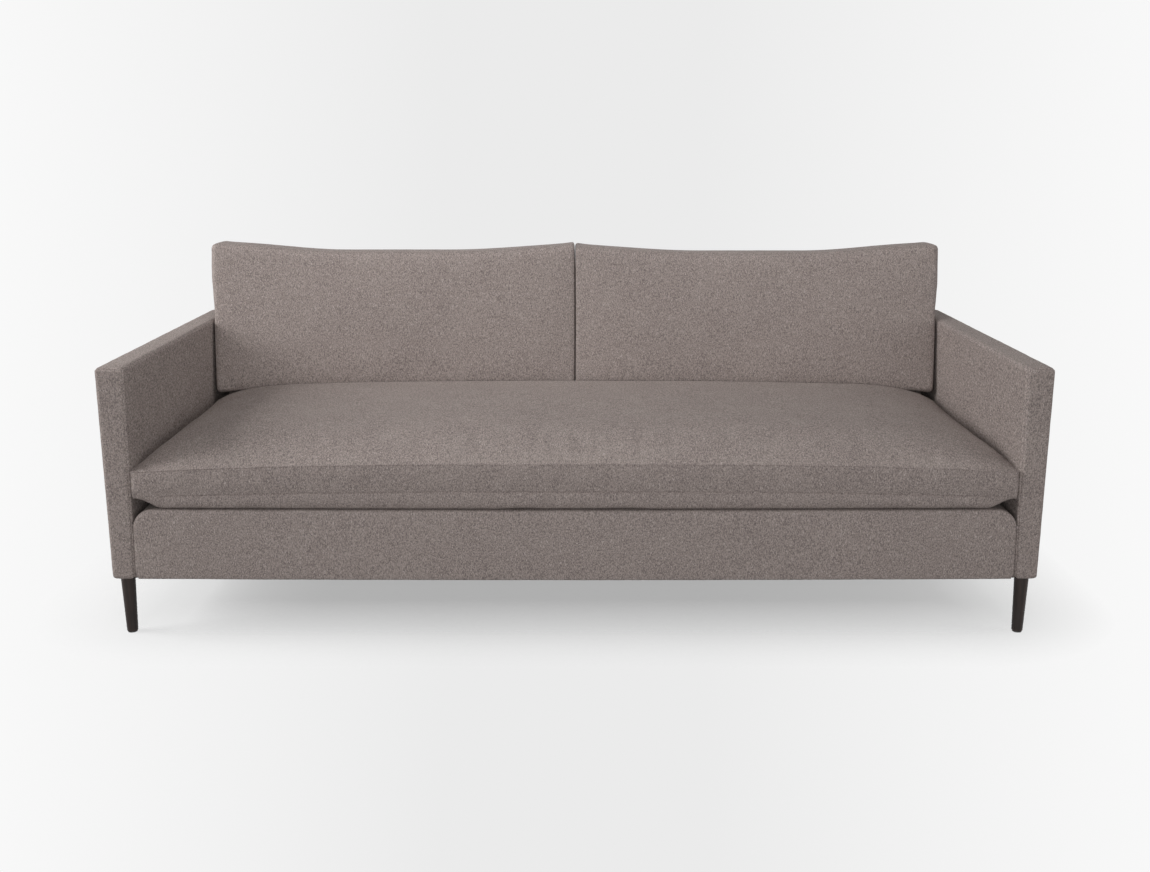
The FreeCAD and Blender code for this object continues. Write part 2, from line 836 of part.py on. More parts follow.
# Regions that share out the layers between the pieces
far = overall_width
frame_core = joined([
    box(lining_x, frame_outer_x + board_thickness, frame_front_y, frame_back_y + board_thickness,
        frame_foot_z, frame_top_z),
    box(-frame_outer_x - board_thickness, -lining_x, frame_front_y, frame_back_y + board_thickness,
        frame_foot_z, frame_top_z),
    prism_x([
        (frame_back_y + board_thickness, frame_foot_z),
        (frame_back_y + board_thickness, frame_top_z),
        (webbing_y(frame_top_z), frame_top_z),
        (webbing_y(frame_foot_z), frame_foot_z),
    ], -lining_x, lining_x),
])
under_deck = box(-lining_x, lining_x, frame_front_y, webbing_y(rail_top_z), frame_foot_z, rail_top_z)
under_back = box(-lining_x, lining_x, front_y + border_return, webbing_y(deck_height),
                 frame_foot_z, deck_fill_z)
in_front_of_back = [
    (front_y - clear, 0),
    (front_y - clear, arm_height + clear),
    (inside_back_y(arm_height + clear), arm_height + clear),
    (inside_back_y(0), 0),
]
arm_zone = joined([
    prism_x(in_front_of_back, arm_inner_x(arm_height) - edge_radius, far),
    box(lining_x, far, 0, far, 0, arm_height + clear),
])
back_zone = box(-far, far, 0, far, 0, arm_height + clear).cut(arm_zone).cut(mirrored(arm_zone))

# Covers of the arms and back
dust_cover = make_dust_cover()
skin = body_outside.cut(body_inside).cut(dust_cover).cut(under_deck)
skin = cut_by(skin, bolt_holes)
rear_seam_x = half_width - rear_seam_from_side
rear_seam_y = back_y - seam_from_edge
hem_top_z = leg_height + hem_height
outside_back_region = joined([
    box(-rear_seam_x, rear_seam_x, rear_seam_y, far, 0, far),
    box(-rear_seam_x, rear_seam_x, back_y - turn_under - clear, far, 0, hem_top_z),
])
outside_arm_region = joined([
    box(half_width - seam_from_edge, far, front_y + seam_from_edge, far, 0, far),
    box(rear_seam_x, far, rear_seam_y, far, 0, far),
    box(arm_inner_x(arm_height) - edge_radius, far, front_y + seam_from_edge, far, 0, hem_top_z),
])
front_panel_region = box(arm_inner_x(arm_height) - edge_radius, far, -far, front_y + seam_from_edge, 0, far)
outside_back_cover = skin.common(outside_back_region)
outside_arm_cover = skin.common(outside_arm_region).cut(outside_back_region)
arm_front_panel = skin.common(front_panel_region)
inside_arm_cover = skin.common(arm_zone).cut(outside_back_region).cut(outside_arm_region)
inside_arm_cover = inside_arm_cover.cut(front_panel_region)
inside_back_cover = skin.common(back_zone).cut(outside_back_region).cut(under_back)
save("outside_back_cover", outside_back_cover)
save("inside_back_cover", inside_back_cover)
for name, shape in (("outside_arm_cover", outside_arm_cover), ("inside_arm_cover", inside_arm_cover),
                    ("arm_front_panel", arm_front_panel)):
    save(name + "_right", shape)
    save(name + "_left", mirrored(shape))

# Padding and lining boards
padding = body_inside.cut(frame_core).cut(under_deck)
arm_padding = padding.common(arm_zone)
save("arm_padding_right", arm_padding)
save("arm_padding_left", mirrored(arm_padding))
save("back_padding", padding.common(back_zone).cut(under_back))
board_foot_z = frame_foot_z + edge_radius
outer_arm_board = box(frame_outer_x, frame_outer_x + board_thickness, frame_front_y,
                      frame_back_y - board_corner_gap, board_foot_z, frame_top_z)
inner_arm_board = prism_x([
    (frame_front_y, rail_top_z),
    (frame_front_y, frame_top_z),
    (webbing_y(frame_top_z), frame_top_z),
    (webbing_y(rail_top_z), rail_top_z),
], lining_x, frame_inner_x)
back_board_x = frame_outer_x - board_corner_gap
back_board = box(-back_board_x, back_board_x, frame_back_y, frame_back_y + board_thickness,
                 board_foot_z, frame_top_z)
save("lining_boards", Part.makeCompound(both_sides(outer_arm_board) + both_sides(inner_arm_board)
                                        + [back_board]))

# Platform
over_rails = box(-far, far, frame_front_y, far, 0, deck_fill_z)
border_region = box(-far, far, -far, front_y + border_return, 0, far)
platform_skin = platform_outside.cut(platform_inside)
border_cover = platform_skin.common(border_region).cut(dust_cover)
border_cover = border_cover.cut(box(-far, far, frame_front_y, far, frame_foot_z, rail_top_z))
save("border_cover", border_cover)
save("deck_cover", platform_skin.cut(border_region).cut(box(-far, far, -far, far, 0, deck_fill_z)))
pad_split = box(-far, far, -far, front_rail_back_y, 0, far)
save("border_padding", platform_inside.common(pad_split).cut(over_rails))
save("deck_padding", platform_inside.cut(pad_split).cut(over_rails))
hessian_reach = arm_inner_x(deck_height) - 2 * cover_thickness
save("deck_hessian", box(-hessian_reach, hessian_reach, frame_front_y, rear_rail_front_y,
                         hessian_z, hessian_z + hessian_thickness))
save("dust_cover", cut_by(dust_cover, bolt_holes))

# Legs
for name, (x, y) in leg_places().items():
    if name == "centre_leg":
        leg = make_leg(centre_leg_radius, centre_leg_radius)
    else:
        leg = make_leg(leg_top_radius, leg_foot_radius)
    save(name, leg.translated(point(x, y, 0)))
save("leg_bolts", Part.makeCompound(at_legs(make_bolt())))
save("leg_inserts", Part.makeCompound(at_legs(make_insert())))
save("leg_glides", Part.makeCompound(at_legs(make_glide())))

# Seat cushion
seat_zip_place = (0.0, seat_rear_y, seat_zip_height, 0.0)
seat_slot = set_zip(make_zip_slot(seat_zip_length), *seat_zip_place)
seat_outside = make_seat_form(0.0)
seat_inside = make_seat_form(cover_thickness)
seat_fill = make_seat_form(cover_thickness + seam_gap)
seat_core_region = make_seat_core_region()
save("seat_cushion_cover", seat_outside.cut(seat_inside).cut(seat_slot))
save("seat_cushion_core", seat_fill.common(seat_core_region))
save("seat_cushion_wrap", seat_fill.cut(seat_core_region))
save("seat_cushion_zip", set_zip(make_zip_chain(seat_zip_length), *seat_zip_place))
save("seat_zip_slider", set_zip(make_zip_slider(seat_zip_length), *seat_zip_place))

# Back cushions
zip_x = (back_cushion_inner_x + back_cushion_outer_x) / 2
back_zip_y = inside_back_y(back_zip_height) - back_cushion_rear_gap
back_zip_place = (zip_x, back_zip_y, back_zip_height, back_recline)
back_slot = set_zip(make_zip_slot(back_zip_length), *back_zip_place)
back_outside = make_back_form(0.0)
back_inside = make_back_form(cover_thickness)
back_pieces = {
    "back_cushion_cover": back_outside.cut(back_inside).cut(back_slot),
    "back_cushion_fill": make_back_form(cover_thickness + seam_gap),
    "back_cushion_zip": set_zip(make_zip_chain(back_zip_length), *back_zip_place),
    "back_zip_slider": set_zip(make_zip_slider(back_zip_length), *back_zip_place),
}
for name, shape in back_pieces.items():
    save(name + "_right", shape)
    save(name + "_left", mirrored(shape))
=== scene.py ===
import json
import math
import bmesh
import bpy
import numpy as np
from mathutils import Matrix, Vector

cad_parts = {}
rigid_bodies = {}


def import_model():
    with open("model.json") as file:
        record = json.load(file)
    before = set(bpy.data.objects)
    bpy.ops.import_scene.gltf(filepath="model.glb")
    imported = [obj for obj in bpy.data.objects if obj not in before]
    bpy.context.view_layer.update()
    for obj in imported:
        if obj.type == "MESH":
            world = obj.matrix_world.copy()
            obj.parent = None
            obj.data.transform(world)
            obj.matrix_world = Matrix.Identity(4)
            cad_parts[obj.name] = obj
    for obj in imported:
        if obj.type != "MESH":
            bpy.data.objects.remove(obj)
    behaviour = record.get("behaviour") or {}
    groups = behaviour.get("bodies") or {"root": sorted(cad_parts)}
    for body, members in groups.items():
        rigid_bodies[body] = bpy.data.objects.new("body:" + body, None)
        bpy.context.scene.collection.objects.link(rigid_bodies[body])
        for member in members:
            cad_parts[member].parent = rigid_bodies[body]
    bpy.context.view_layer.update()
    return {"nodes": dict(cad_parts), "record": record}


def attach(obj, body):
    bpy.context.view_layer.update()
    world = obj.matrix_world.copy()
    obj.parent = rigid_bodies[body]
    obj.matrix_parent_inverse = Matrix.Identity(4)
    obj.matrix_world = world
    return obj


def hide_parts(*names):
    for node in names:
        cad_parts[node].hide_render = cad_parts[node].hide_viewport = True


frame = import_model()
scene = bpy.context.scene
nodes = frame["nodes"]

# Planes of the upholstered body that several pieces share, in metres
body = {
    "halfWidth": 1.080,
    "front": -0.475,
    "back": 0.485,
    "foot": 0.150,
    "armTop": 0.650,
    "deck": 0.318,
    "armInnerFoot": 1.026,
    "armInnerTop": 1.015,
    "insideBackFoot": 0.365,
    "lean": math.tan(math.radians(7.7)),
    "edge": 0.010,
    "footEdge": 0.007,
    "rearCorner": 0.025,
    "hem": 0.022,
}


def armInner(z):
    share = (z - body["foot"]) / (body["armTop"] - body["foot"])
    return body["armInnerFoot"] + share * (body["armInnerTop"] - body["armInnerFoot"])


def insideBackAt(z):
    return body["insideBackFoot"] + (z - body["deck"]) * body["lean"]


# Nodes take their inputs by name or by number, each as a value or as a socket to link
def feed(tree, value, socket):
    if isinstance(value, bpy.types.NodeSocket):
        tree.links.new(value, socket)
    else:
        socket.default_value = value


def addNode(tree, kind, inputs=None, **settings):
    node = tree.nodes.new(kind)
    for name, value in settings.items():
        setattr(node, name, value)
    for name, value in (inputs or {}).items():
        feed(tree, value, node.inputs[name])
    return node


def sums(tree, operation, *values, clamp=False):
    return addNode(tree, "ShaderNodeMath", dict(enumerate(values)), operation=operation, use_clamp=clamp).outputs[0]


def vectorSums(tree, operation, *values):
    return addNode(tree, "ShaderNodeVectorMath", dict(enumerate(values)), operation=operation).outputs


def scaled(tree, vector, amounts):
    return vectorSums(tree, "MULTIPLY", vector, amounts)[0]


# A place in metres becomes a count of threads, fibres or pores of the given size
def counted(tree, vector, size):
    perMetre = sums(tree, "DIVIDE", 1.0, size)
    return addNode(tree, "ShaderNodeVectorMath", {"Vector": vector, "Scale": perMetre}, operation="SCALE").outputs[0]


def facings(tree):
    normal = tree.nodes.new("ShaderNodeNewGeometry").outputs["Normal"]
    return addNode(tree, "ShaderNodeSeparateXYZ", {"Vector": normal}).outputs


def grains(tree, vector, scale, detail=2.0, roughness=0.5, distortion=0.0):
    return addNode(tree, "ShaderNodeTexNoise", {
        "Vector": vector, "Scale": scale, "Detail": detail, "Roughness": roughness, "Distortion": distortion,
    }).outputs["Fac"]


def spread(tree, value, low, high, outLow=0.0, outHigh=1.0):
    return addNode(tree, "ShaderNodeMapRange", {
        "Value": value, "From Min": low, "From Max": high, "To Min": outLow, "To Max": outHigh,
    }, clamp=True).outputs["Result"]


def blendOf(tree, share, first, second):
    return addNode(tree, "ShaderNodeMix", {0: share, 6: first, 7: second}, data_type="RGBA").outputs[2]


def mixShaders(tree, share, first, second):
    return addNode(tree, "ShaderNodeMixShader", {0: share, 1: first, 2: second}).outputs[0]


def startGroup(name, inputs, outputs):
    tree = bpy.data.node_groups.new(name, "ShaderNodeTree")
    for label, kind, value in inputs:
        socket = tree.interface.new_socket(name=label, in_out="INPUT", socket_type=kind)
        if value is not None:
            socket.default_value = value
    for label, kind in outputs:
        tree.interface.new_socket(name=label, in_out="OUTPUT", socket_type=kind)
    entry = tree.nodes.new("NodeGroupInput")
    leave = tree.nodes.new("NodeGroupOutput")
    return tree, entry.outputs, leave.inputs


def placeGroup(tree, group, inputs):
    node = tree.nodes.new("ShaderNodeGroup")
    node.node_tree = group
    for name, value in inputs.items():
        feed(tree, value, node.inputs[name])
    return node.outputs


def linear(red, green, blue):
    channels = [(c / 255 + 0.055) ** 2.4 / 1.055 ** 2.4 if c > 10 else c / 255 / 12.92 for c in (red, green, blue)]
    return (*channels, 1.0)


floatSocket = "NodeSocketFloat"
colourSocket = "NodeSocketColor"
vectorSocket = "NodeSocketVector"


# Two fibre colours and a few pale hairs, mixed in clumps of several sizes
def makeFleckGroup():
    tree, given, out = startGroup("fibreFlecks", [
        ("Vector", vectorSocket, None),
        ("Size", floatSocket, 0.0016),
        ("Warm", colourSocket, None),
        ("Cool", colourSocket, None),
        ("Dark", colourSocket, None),
        ("Pale", colourSocket, None),
        ("Clumps", floatSocket, 0.35),
    ], [("Color", colourSocket), ("Height", floatSocket)])
    place = counted(tree, given["Vector"], given["Size"])
    fine = grains(tree, scaled(tree, place, (1.0, 0.28, 0.5)), 1.0, 3.0, 0.6)
    cross = grains(tree, scaled(tree, place, (0.6, 0.34, 1.0)), 1.15, 3.0, 0.6)
    clumps = grains(tree, place, 0.16, 3.0, 0.6)
    drift = grains(tree, given["Vector"], 7.0, 2.0, 0.5)
    mixed = sums(tree, "ADD", sums(tree, "MULTIPLY", fine, 0.6), sums(tree, "MULTIPLY", cross, 0.4))
    clumped = sums(tree, "MULTIPLY_ADD", sums(tree, "SUBTRACT", clumps, 0.5), given["Clumps"], mixed)
    clumped = sums(tree, "MULTIPLY_ADD", sums(tree, "SUBTRACT", drift, 0.5), 0.04, clumped)
    ground = blendOf(tree, spread(tree, clumped, 0.41, 0.59), given["Cool"], given["Warm"])
    ground = blendOf(tree, spread(tree, fine, 0.40, 0.24, 0.0, 0.75), ground, given["Dark"])
    hairs = grains(tree, scaled(tree, place, (0.9, 0.3, 0.3)), 1.5, 2.0, 0.5, 0.6)
    ground = blendOf(tree, spread(tree, hairs, 0.58, 0.72, 0.0, 0.75), ground, given["Pale"])
    feed(tree, ground, out["Color"])
    feed(tree, sums(tree, "ADD", mixed, sums(tree, "MULTIPLY", hairs, 0.4)), out["Height"])
    return tree


# One crossing of a plain weave, from a place measured in threads
def makeCrossingGroup():
    tree, given, out = startGroup("weaveCrossing", [("U", floatSocket, 0.0), ("V", floatSocket, 0.0)],
                                  [("Height", floatSocket)])
    turn = sums(tree, "ADD", sums(tree, "FLOOR", given["U"]), sums(tree, "FLOOR", given["V"]))
    over = sums(tree, "PINGPONG", turn, 1.0)
    warp = sums(tree, "ABSOLUTE", sums(tree, "SINE", sums(tree, "MULTIPLY", given["U"], math.pi)))
    weft = sums(tree, "ABSOLUTE", sums(tree, "SINE", sums(tree, "MULTIPLY", given["V"], math.pi)))
    warpTop = sums(tree, "MULTIPLY", warp, sums(tree, "MULTIPLY_ADD", weft, 0.4, 0.6))
    weftTop = sums(tree, "MULTIPLY", weft, sums(tree, "MULTIPLY_ADD", warp, 0.4, 0.6))
    low = sums(tree, "MULTIPLY", warpTop, sums(tree, "SUBTRACT", 1.0, over))
    feed(tree, sums(tree, "MULTIPLY_ADD", weftTop, over, low), out["Height"])
    return tree


# The weave laid on from the three sides, each where the surface faces it
def makeWeaveGroup(crossing):
    tree, given, out = startGroup("clothWeave", [("Vector", vectorSocket, None), ("Thread", floatSocket, 0.0012)],
                                  [("Height", floatSocket)])
    place = counted(tree, given["Vector"], given["Thread"])
    at = addNode(tree, "ShaderNodeSeparateXYZ", {"Vector": place}).outputs
    facing = facings(tree)
    total = None
    weight = None
    for axis, (first, second) in {"X": ("Y", "Z"), "Y": ("X", "Z"), "Z": ("X", "Y")}.items():
        share = sums(tree, "POWER", sums(tree, "ABSOLUTE", facing[axis]), 6.0)
        height = placeGroup(tree, crossing, {"U": at[first], "V": at[second]})["Height"]
        part = sums(tree, "MULTIPLY", height, share)
        total = part if total is None else sums(tree, "ADD", total, part)
        weight = share if weight is None else sums(tree, "ADD", weight, share)
    feed(tree, sums(tree, "DIVIDE", total, sums(tree, "MAXIMUM", weight, 0.001)), out["Height"])
    return tree


# Long grain along one axis, for wood and board
def makeGrainGroup():
    tree, given, out = startGroup("woodGrain", [
        ("Vector", vectorSocket, None),
        ("Stretch", vectorSocket, (1.0, 1.0, 0.06)),
        ("Size", floatSocket, 0.003),
        ("Dark", colourSocket, None),
        ("Pale", colourSocket, None),
    ], [("Color", colourSocket), ("Height", floatSocket)])
    place = counted(tree, scaled(tree, given["Vector"], given["Stretch"]), given["Size"])
    rings = grains(tree, place, 0.35, 4.0, 0.6, 1.2)
    pores = grains(tree, place, 2.2, 3.0, 0.7)
    tone = sums(tree, "ADD", sums(tree, "MULTIPLY", rings, 0.7), sums(tree, "MULTIPLY", pores, 0.3))
    feed(tree, blendOf(tree, spread(tree, tone, 0.34, 0.66), given["Dark"], given["Pale"]), out["Color"])
    feed(tree, tone, out["Height"])
    return tree


# Rubbed edges, from how sharply the surface turns
def makeWearGroup():
    tree, given, out = startGroup("rubbedEdges", [("Vector", vectorSocket, None), ("Reach", floatSocket, 0.04)],
                                  [("Mask", floatSocket)])
    turn = tree.nodes.new("ShaderNodeNewGeometry").outputs["Pointiness"]
    start = sums(tree, "SUBTRACT", 0.56, given["Reach"])
    edge = spread(tree, turn, start, sums(tree, "ADD", start, 0.06))
    broken = spread(tree, grains(tree, given["Vector"], 90.0, 3.0, 0.6), 0.35, 0.65)
    feed(tree, sums(tree, "MULTIPLY", edge, broken, clamp=True), out["Mask"])
    return tree


# A little pale dust and handling marks, mostly on what faces up
def makeDustGroup():
    tree, given, out = startGroup("settledDust", [("Vector", vectorSocket, None), ("Amount", floatSocket, 0.1)],
                                  [("Mask", floatSocket)])
    upward = spread(tree, facings(tree)["Z"], -0.2, 0.9, 0.35, 1.0)
    patches = spread(tree, grains(tree, given["Vector"], 14.0, 4.0, 0.6), 0.42, 0.66)
    feed(tree, sums(tree, "MULTIPLY", sums(tree, "MULTIPLY", upward, patches), given["Amount"]), out["Mask"])
    return tree


fleckGroup = makeFleckGroup()
weaveGroup = makeWeaveGroup(makeCrossingGroup())
grainGroup = makeGrainGroup()
wearGroup = makeWearGroup()
dustGroup = makeDustGroup()


# The values go to the shader's own sockets
def startMaterial(name, values):
    material = bpy.data.materials.new(name)
    material.use_nodes = True
    tree = material.node_tree
    shader = tree.nodes["Principled BSDF"]
    for label, value in values.items():
        shader.inputs[label].default_value = value
    place = tree.nodes.new("ShaderNodeTexCoord").outputs["Object"]
    return material, tree, shader, place


def coverSurface(tree, shader, colour, rough, height, strength, distance):
    bump = addNode(tree, "ShaderNodeBump", {"Height": height, "Strength": strength, "Distance": distance})
    for label, value in (("Base Color", colour), ("Roughness", rough), ("Normal", bump.outputs["Normal"])):
        feed(tree, value, shader.inputs[label])


def layWeave(tree, place, look):
    colours = {key.capitalize(): linear(*look[key]) for key in ("warm", "cool", "dark", "pale")}
    flecks = placeGroup(tree, fleckGroup, {"Vector": place, "Size": look["fleck"], "Clumps": look["clumps"], **colours})
    weave = placeGroup(tree, weaveGroup, {"Vector": place, "Thread": look["thread"]})["Height"]
    return flecks["Color"], flecks["Height"], weave


def dusted(tree, place, colour, amount, shade):
    mask = placeGroup(tree, dustGroup, {"Vector": place, "Amount": amount})["Mask"]
    return blendOf(tree, mask, colour, linear(*shade))


def rubbed(tree, place, colour, reach, amount, shade):
    mask = placeGroup(tree, wearGroup, {"Vector": place, "Reach": reach})["Mask"]
    return blendOf(tree, sums(tree, "MULTIPLY", mask, amount), colour, linear(*shade))


# Brushed woollen cloth in warm grey, the sofa's own cover
wool = {
    "name": "warmGreyWool",
    "warm": (165, 153, 147),
    "cool": (115, 105, 103),
    "dark": (81, 73, 71),
    "pale": (206, 194, 189),
    "fleck": 0.0021,
    "thread": 0.0013,
    "clumps": 0.05,
    "shader": {"Roughness": 0.92, "Specular IOR Level": 0.25, "Sheen Weight": 0.05, "Sheen Roughness": 0.45,
               "Sheen Tint": linear(214, 206, 198)},
    "rough": (0.84, 0.97),
}


def makeWool(look):
    material, tree, shader, place = startMaterial(look["name"], look["shader"])
    colour, hairs, weave = layWeave(tree, place, look)
    rough = spread(tree, hairs, 0.3, 1.0, *look["rough"])
    nap = sums(tree, "MULTIPLY_ADD", weave, 0.5, hairs)
    coverSurface(tree, shader, dusted(tree, place, colour, 0.08, (176, 170, 163)), rough, nap, 0.45, 0.0006)
    return material


# Plain woven cloths, by the slots they fill: lining, dust cover, hessian, webbing and wadding. The hollows of their
# weave are darkened with painted shade.
cloths = {
    "lining": {"name": "deckLining", "fleck": 0.0016, "thread": 0.0010, "rough": 0.9,
               "warm": (140, 133, 126), "cool": (122, 115, 110), "dark": (88, 82, 78), "pale": (170, 164, 158)},
    "black_cloth": {"name": "blackDustCloth", "fleck": 0.0030, "thread": 0.0008, "rough": 0.85,
                    "warm": (34, 33, 34), "cool": (22, 22, 24), "dark": (10, 10, 11), "pale": (62, 61, 62)},
    "hessian": {"name": "juteHessian", "fleck": 0.0040, "thread": 0.0026, "rough": 0.95,
                "warm": (176, 146, 104), "cool": (148, 119, 80), "dark": (92, 70, 44), "pale": (206, 182, 142)},
    "webbing": {"name": "elasticWebbing", "fleck": 0.0020, "thread": 0.0018, "rough": 0.85,
                "warm": (70, 66, 62), "cool": (46, 43, 41), "dark": (24, 22, 21), "pale": (168, 160, 148)},
    "fibre": {"name": "fibreWadding", "fleck": 0.0060, "thread": 0.0040, "rough": 0.95,
              "warm": (236, 234, 229), "cool": (222, 219, 213), "dark": (196, 192, 186), "pale": (248, 247, 244)},
}


def makeCloth(look):
    material, tree, shader, place = startMaterial(look["name"], {"Roughness": look["rough"]})
    colour, hairs, weave = layWeave(tree, place, dict(look, clumps=0.35))
    # painted shade: where the weave lies low, between the threads, the colour is darkened towards the dark fibre colour
    shade = blendOf(tree, spread(tree, weave, 0.5, 0.0, 0.0, 0.55), colour, linear(*look["dark"]))
    rough = spread(tree, hairs, 0.3, 1.0, look["rough"] - 0.1, look["rough"])
    colour = dusted(tree, place, shade, 0.10, (150, 144, 136))
    coverSurface(tree, shader, colour, rough, weave, 0.6, look["thread"] * 0.4)
    return material


# Cream foam with open cells, whose hollows are darkened with painted shade
def makeFoam(name):
    material, tree, shader, place = startMaterial(name, {"Roughness": 0.9})
    cells = addNode(tree, "ShaderNodeTexVoronoi", {"Vector": place, "Scale": 900.0}).outputs["Distance"]
    tone = grains(tree, place, 22.0, 3.0, 0.6)
    shade = blendOf(tree, spread(tree, tone, 0.35, 0.65), linear(226, 208, 160), linear(238, 224, 184))
    # painted shade: the hollow of each open cell is painted in a darker foam tone
    colour = blendOf(tree, spread(tree, cells, 0.5, 0.1, 0.0, 0.5), shade, linear(178, 156, 108))
    coverSurface(tree, shader, colour, spread(tree, tone, 0.3, 0.7, 0.85, 0.98), cells, 0.5, 0.0006)
    return material


# Wood and board. The stretch says which way the grain runs.
woods = {
    "dark_wood": {"name": "espressoWood", "dark": (16, 10, 8), "pale": (42, 28, 23), "rub": (84, 60, 48),
                  "size": 0.0022, "stretch": (1.0, 1.0, 0.05), "rough": (0.42, 0.58), "coat": 0.06,
                  "relief": 0.00025, "shine": 0.25},
    "hardwood": {"name": "frameHardwood", "dark": (168, 128, 86), "pale": (206, 170, 124), "rub": (220, 190, 150),
                 "size": 0.0045, "stretch": (0.06, 1.0, 1.0), "rough": (0.55, 0.75), "coat": 0.0,
                 "relief": 0.0004, "shine": 0.4},
    "lining_board": {"name": "brownLiningBoard", "dark": (134, 104, 74), "pale": (164, 134, 100),
                     "rub": (190, 165, 132), "size": 0.006, "stretch": (1.0, 1.0, 0.4), "rough": (0.75, 0.92),
                     "coat": 0.0, "relief": 0.0003, "shine": 0.3},
}


def makeWood(look):
    material, tree, shader, place = startMaterial(look["name"], {
        "Roughness": look["rough"][1], "Specular IOR Level": look["shine"], "Coat Weight": look["coat"],
        "Coat Roughness": 0.22,
    })
    grain = placeGroup(tree, grainGroup, {
        "Vector": place, "Stretch": look["stretch"], "Size": look["size"],
        "Dark": linear(*look["dark"]), "Pale": linear(*look["pale"]),
    })
    worn = rubbed(tree, place, grain["Color"], 0.02, 0.45, look["rub"])
    colour = dusted(tree, place, worn, 0.05, (160, 154, 146))
    rough = spread(tree, grain["Height"], 0.3, 0.7, *look["rough"])
    coverSurface(tree, shader, colour, rough, grain["Height"], 0.35, look["relief"])
    return material


# Metals and the nylon of zips and glides
hardFinishes = {
    "spring_steel": {"name": "springSteel", "base": (92, 92, 96), "mark": (60, 58, 58), "rough": (0.32, 0.55),
                     "metal": 1.0, "scratch": 240.0},
    "zinc_steel": {"name": "zincSteel", "base": (176, 178, 182), "mark": (132, 134, 138), "rough": (0.28, 0.48),
                   "metal": 1.0, "scratch": 260.0},
    "brass": {"name": "insertBrass", "base": (196, 158, 92), "mark": (132, 100, 52), "rough": (0.25, 0.45),
              "metal": 1.0, "scratch": 260.0},
    "slider_metal": {"name": "sliderNickel", "base": (150, 150, 152), "mark": (92, 92, 95), "rough": (0.22, 0.40),
                     "metal": 1.0, "scratch": 320.0},
    "zip_coil": {"name": "zipNylon", "base": (104, 97, 93), "mark": (70, 65, 62), "rough": (0.40, 0.60),
                 "metal": 0.0, "scratch": 420.0},
    "glide": {"name": "feltGlide", "base": (34, 33, 33), "mark": (66, 63, 60), "rough": (0.55, 0.80),
              "metal": 0.0, "scratch": 180.0},
}


def makeHardFinish(look):
    values = {"Roughness": look["rough"][1], "Metallic": look["metal"]}
    material, tree, shader, place = startMaterial(look["name"], values)
    brushed = grains(tree, scaled(tree, place, (1.0, 1.0, 0.15)), look["scratch"], 4.0, 0.7)
    blotches = spread(tree, grains(tree, place, 35.0, 3.0, 0.6), 0.40, 0.68, 0.0, 0.8)
    shade = blendOf(tree, blotches, linear(*look["base"]), linear(*look["mark"]))
    colour = rubbed(tree, place, shade, 0.03, 0.4, [min(255, c + 45) for c in look["base"]])
    coverSurface(tree, shader, colour, spread(tree, brushed, 0.3, 0.7, *look["rough"]), brushed, 0.2, 0.0002)
    return material


finishes = {"upholstery": makeWool(wool), "foam": makeFoam("seatFoam")}
for make, looks in ((makeCloth, cloths), (makeWood, woods), (makeHardFinish, hardFinishes)):
    for slot, look in looks.items():
        finishes[slot] = make(look)
print("finishes made:", len(finishes))


def bareMesh(name, points, faces):
    mesh = bpy.data.meshes.new(name)
    mesh.from_pydata([tuple(map(float, p)) for p in points], [], faces)
    piece = bpy.data.objects.new(name, mesh)
    scene.collection.objects.link(piece)
    return piece, mesh


def makePiece(name, points, faces, finish, rides, replaces):
    piece, mesh = bareMesh(name, points, faces)
    mesh.validate()
    mesh.polygons.foreach_set("use_smooth", [True] * len(mesh.polygons))
    mesh.materials.append(finishes[finish])
    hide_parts(*replaces)
    piece["ridesOn"] = rides
    return piece


# Takes the modifiers into the mesh
def applied(piece):
    view = bpy.context.evaluated_depsgraph_get()
    mesh = bpy.data.meshes.new_from_object(piece.evaluated_get(view))
    piece.modifiers.clear()
    piece.data = mesh
    return piece


# Points that share a place at a panel's corners become one, and what hangs from no face goes
def weld(piece):
    shell = bmesh.new()
    shell.from_mesh(piece.data)
    bmesh.ops.remove_doubles(shell, verts=shell.verts, dist=1e-6)
    bmesh.ops.delete(shell, geom=[v for v in shell.verts if not v.link_faces], context="VERTS")
    shell.to_mesh(piece.data)
    shell.free()


def thicken(piece, thickness):
    weld(piece)
    solid = piece.modifiers.new("thickness", "SOLIDIFY")
    solid.thickness = thickness
    solid.offset = -1.0
    return applied(piece)


def smoother(piece):
    rounds = piece.modifiers.new("rounds", "SUBSURF")
    rounds.levels = 1
    rounds.render_levels = 1
    return applied(piece)


# Places along a length: close together by the seams at its ends, even between
def seamPlaces(length, step, start=True, end=True):
    close = np.array([0.0, 0.0016, 0.0034, 0.0058, 0.0092, 0.0140, 0.0210])
    first = close if start else np.array([0.0])
    last = length - (close[::-1] if end else np.array([0.0]))
    count = max(1, round((last[0] - first[-1]) / step))
    return np.concatenate([first, np.linspace(first[-1], last[0], count + 1)[1:-1], last])


def gridNormals(grid):
    across = np.gradient(grid, axis=0)
    along = np.gradient(grid, axis=1)
    normal = np.cross(across, along)
    return normal / np.maximum(np.linalg.norm(normal, axis=2, keepdims=True), 1e-12)


def gridFaces(rows, columns, flip=False):
    faces = []
    for r in range(rows - 1):
        for c in range(columns - 1):
            near, far = r * columns + c, (r + 1) * columns + c
            quad = (near, far, far + 1, near + 1)
            faces.append(quad[::-1] if flip else quad)
    return faces


# Smooth unevenness that is the same on each run
def softNoise(points, size, seed):
    source = np.random.RandomState(seed)
    value = np.zeros(points.shape[:-1])
    for wave in range(14):
        direction = source.normal(size=3)
        direction /= np.linalg.norm(direction)
        turn = source.uniform(0.6, 1.6) * 2 * math.pi / size
        value += np.sin(points @ direction * turn + source.uniform(0, 2 * math.pi))
    return value / 5.3


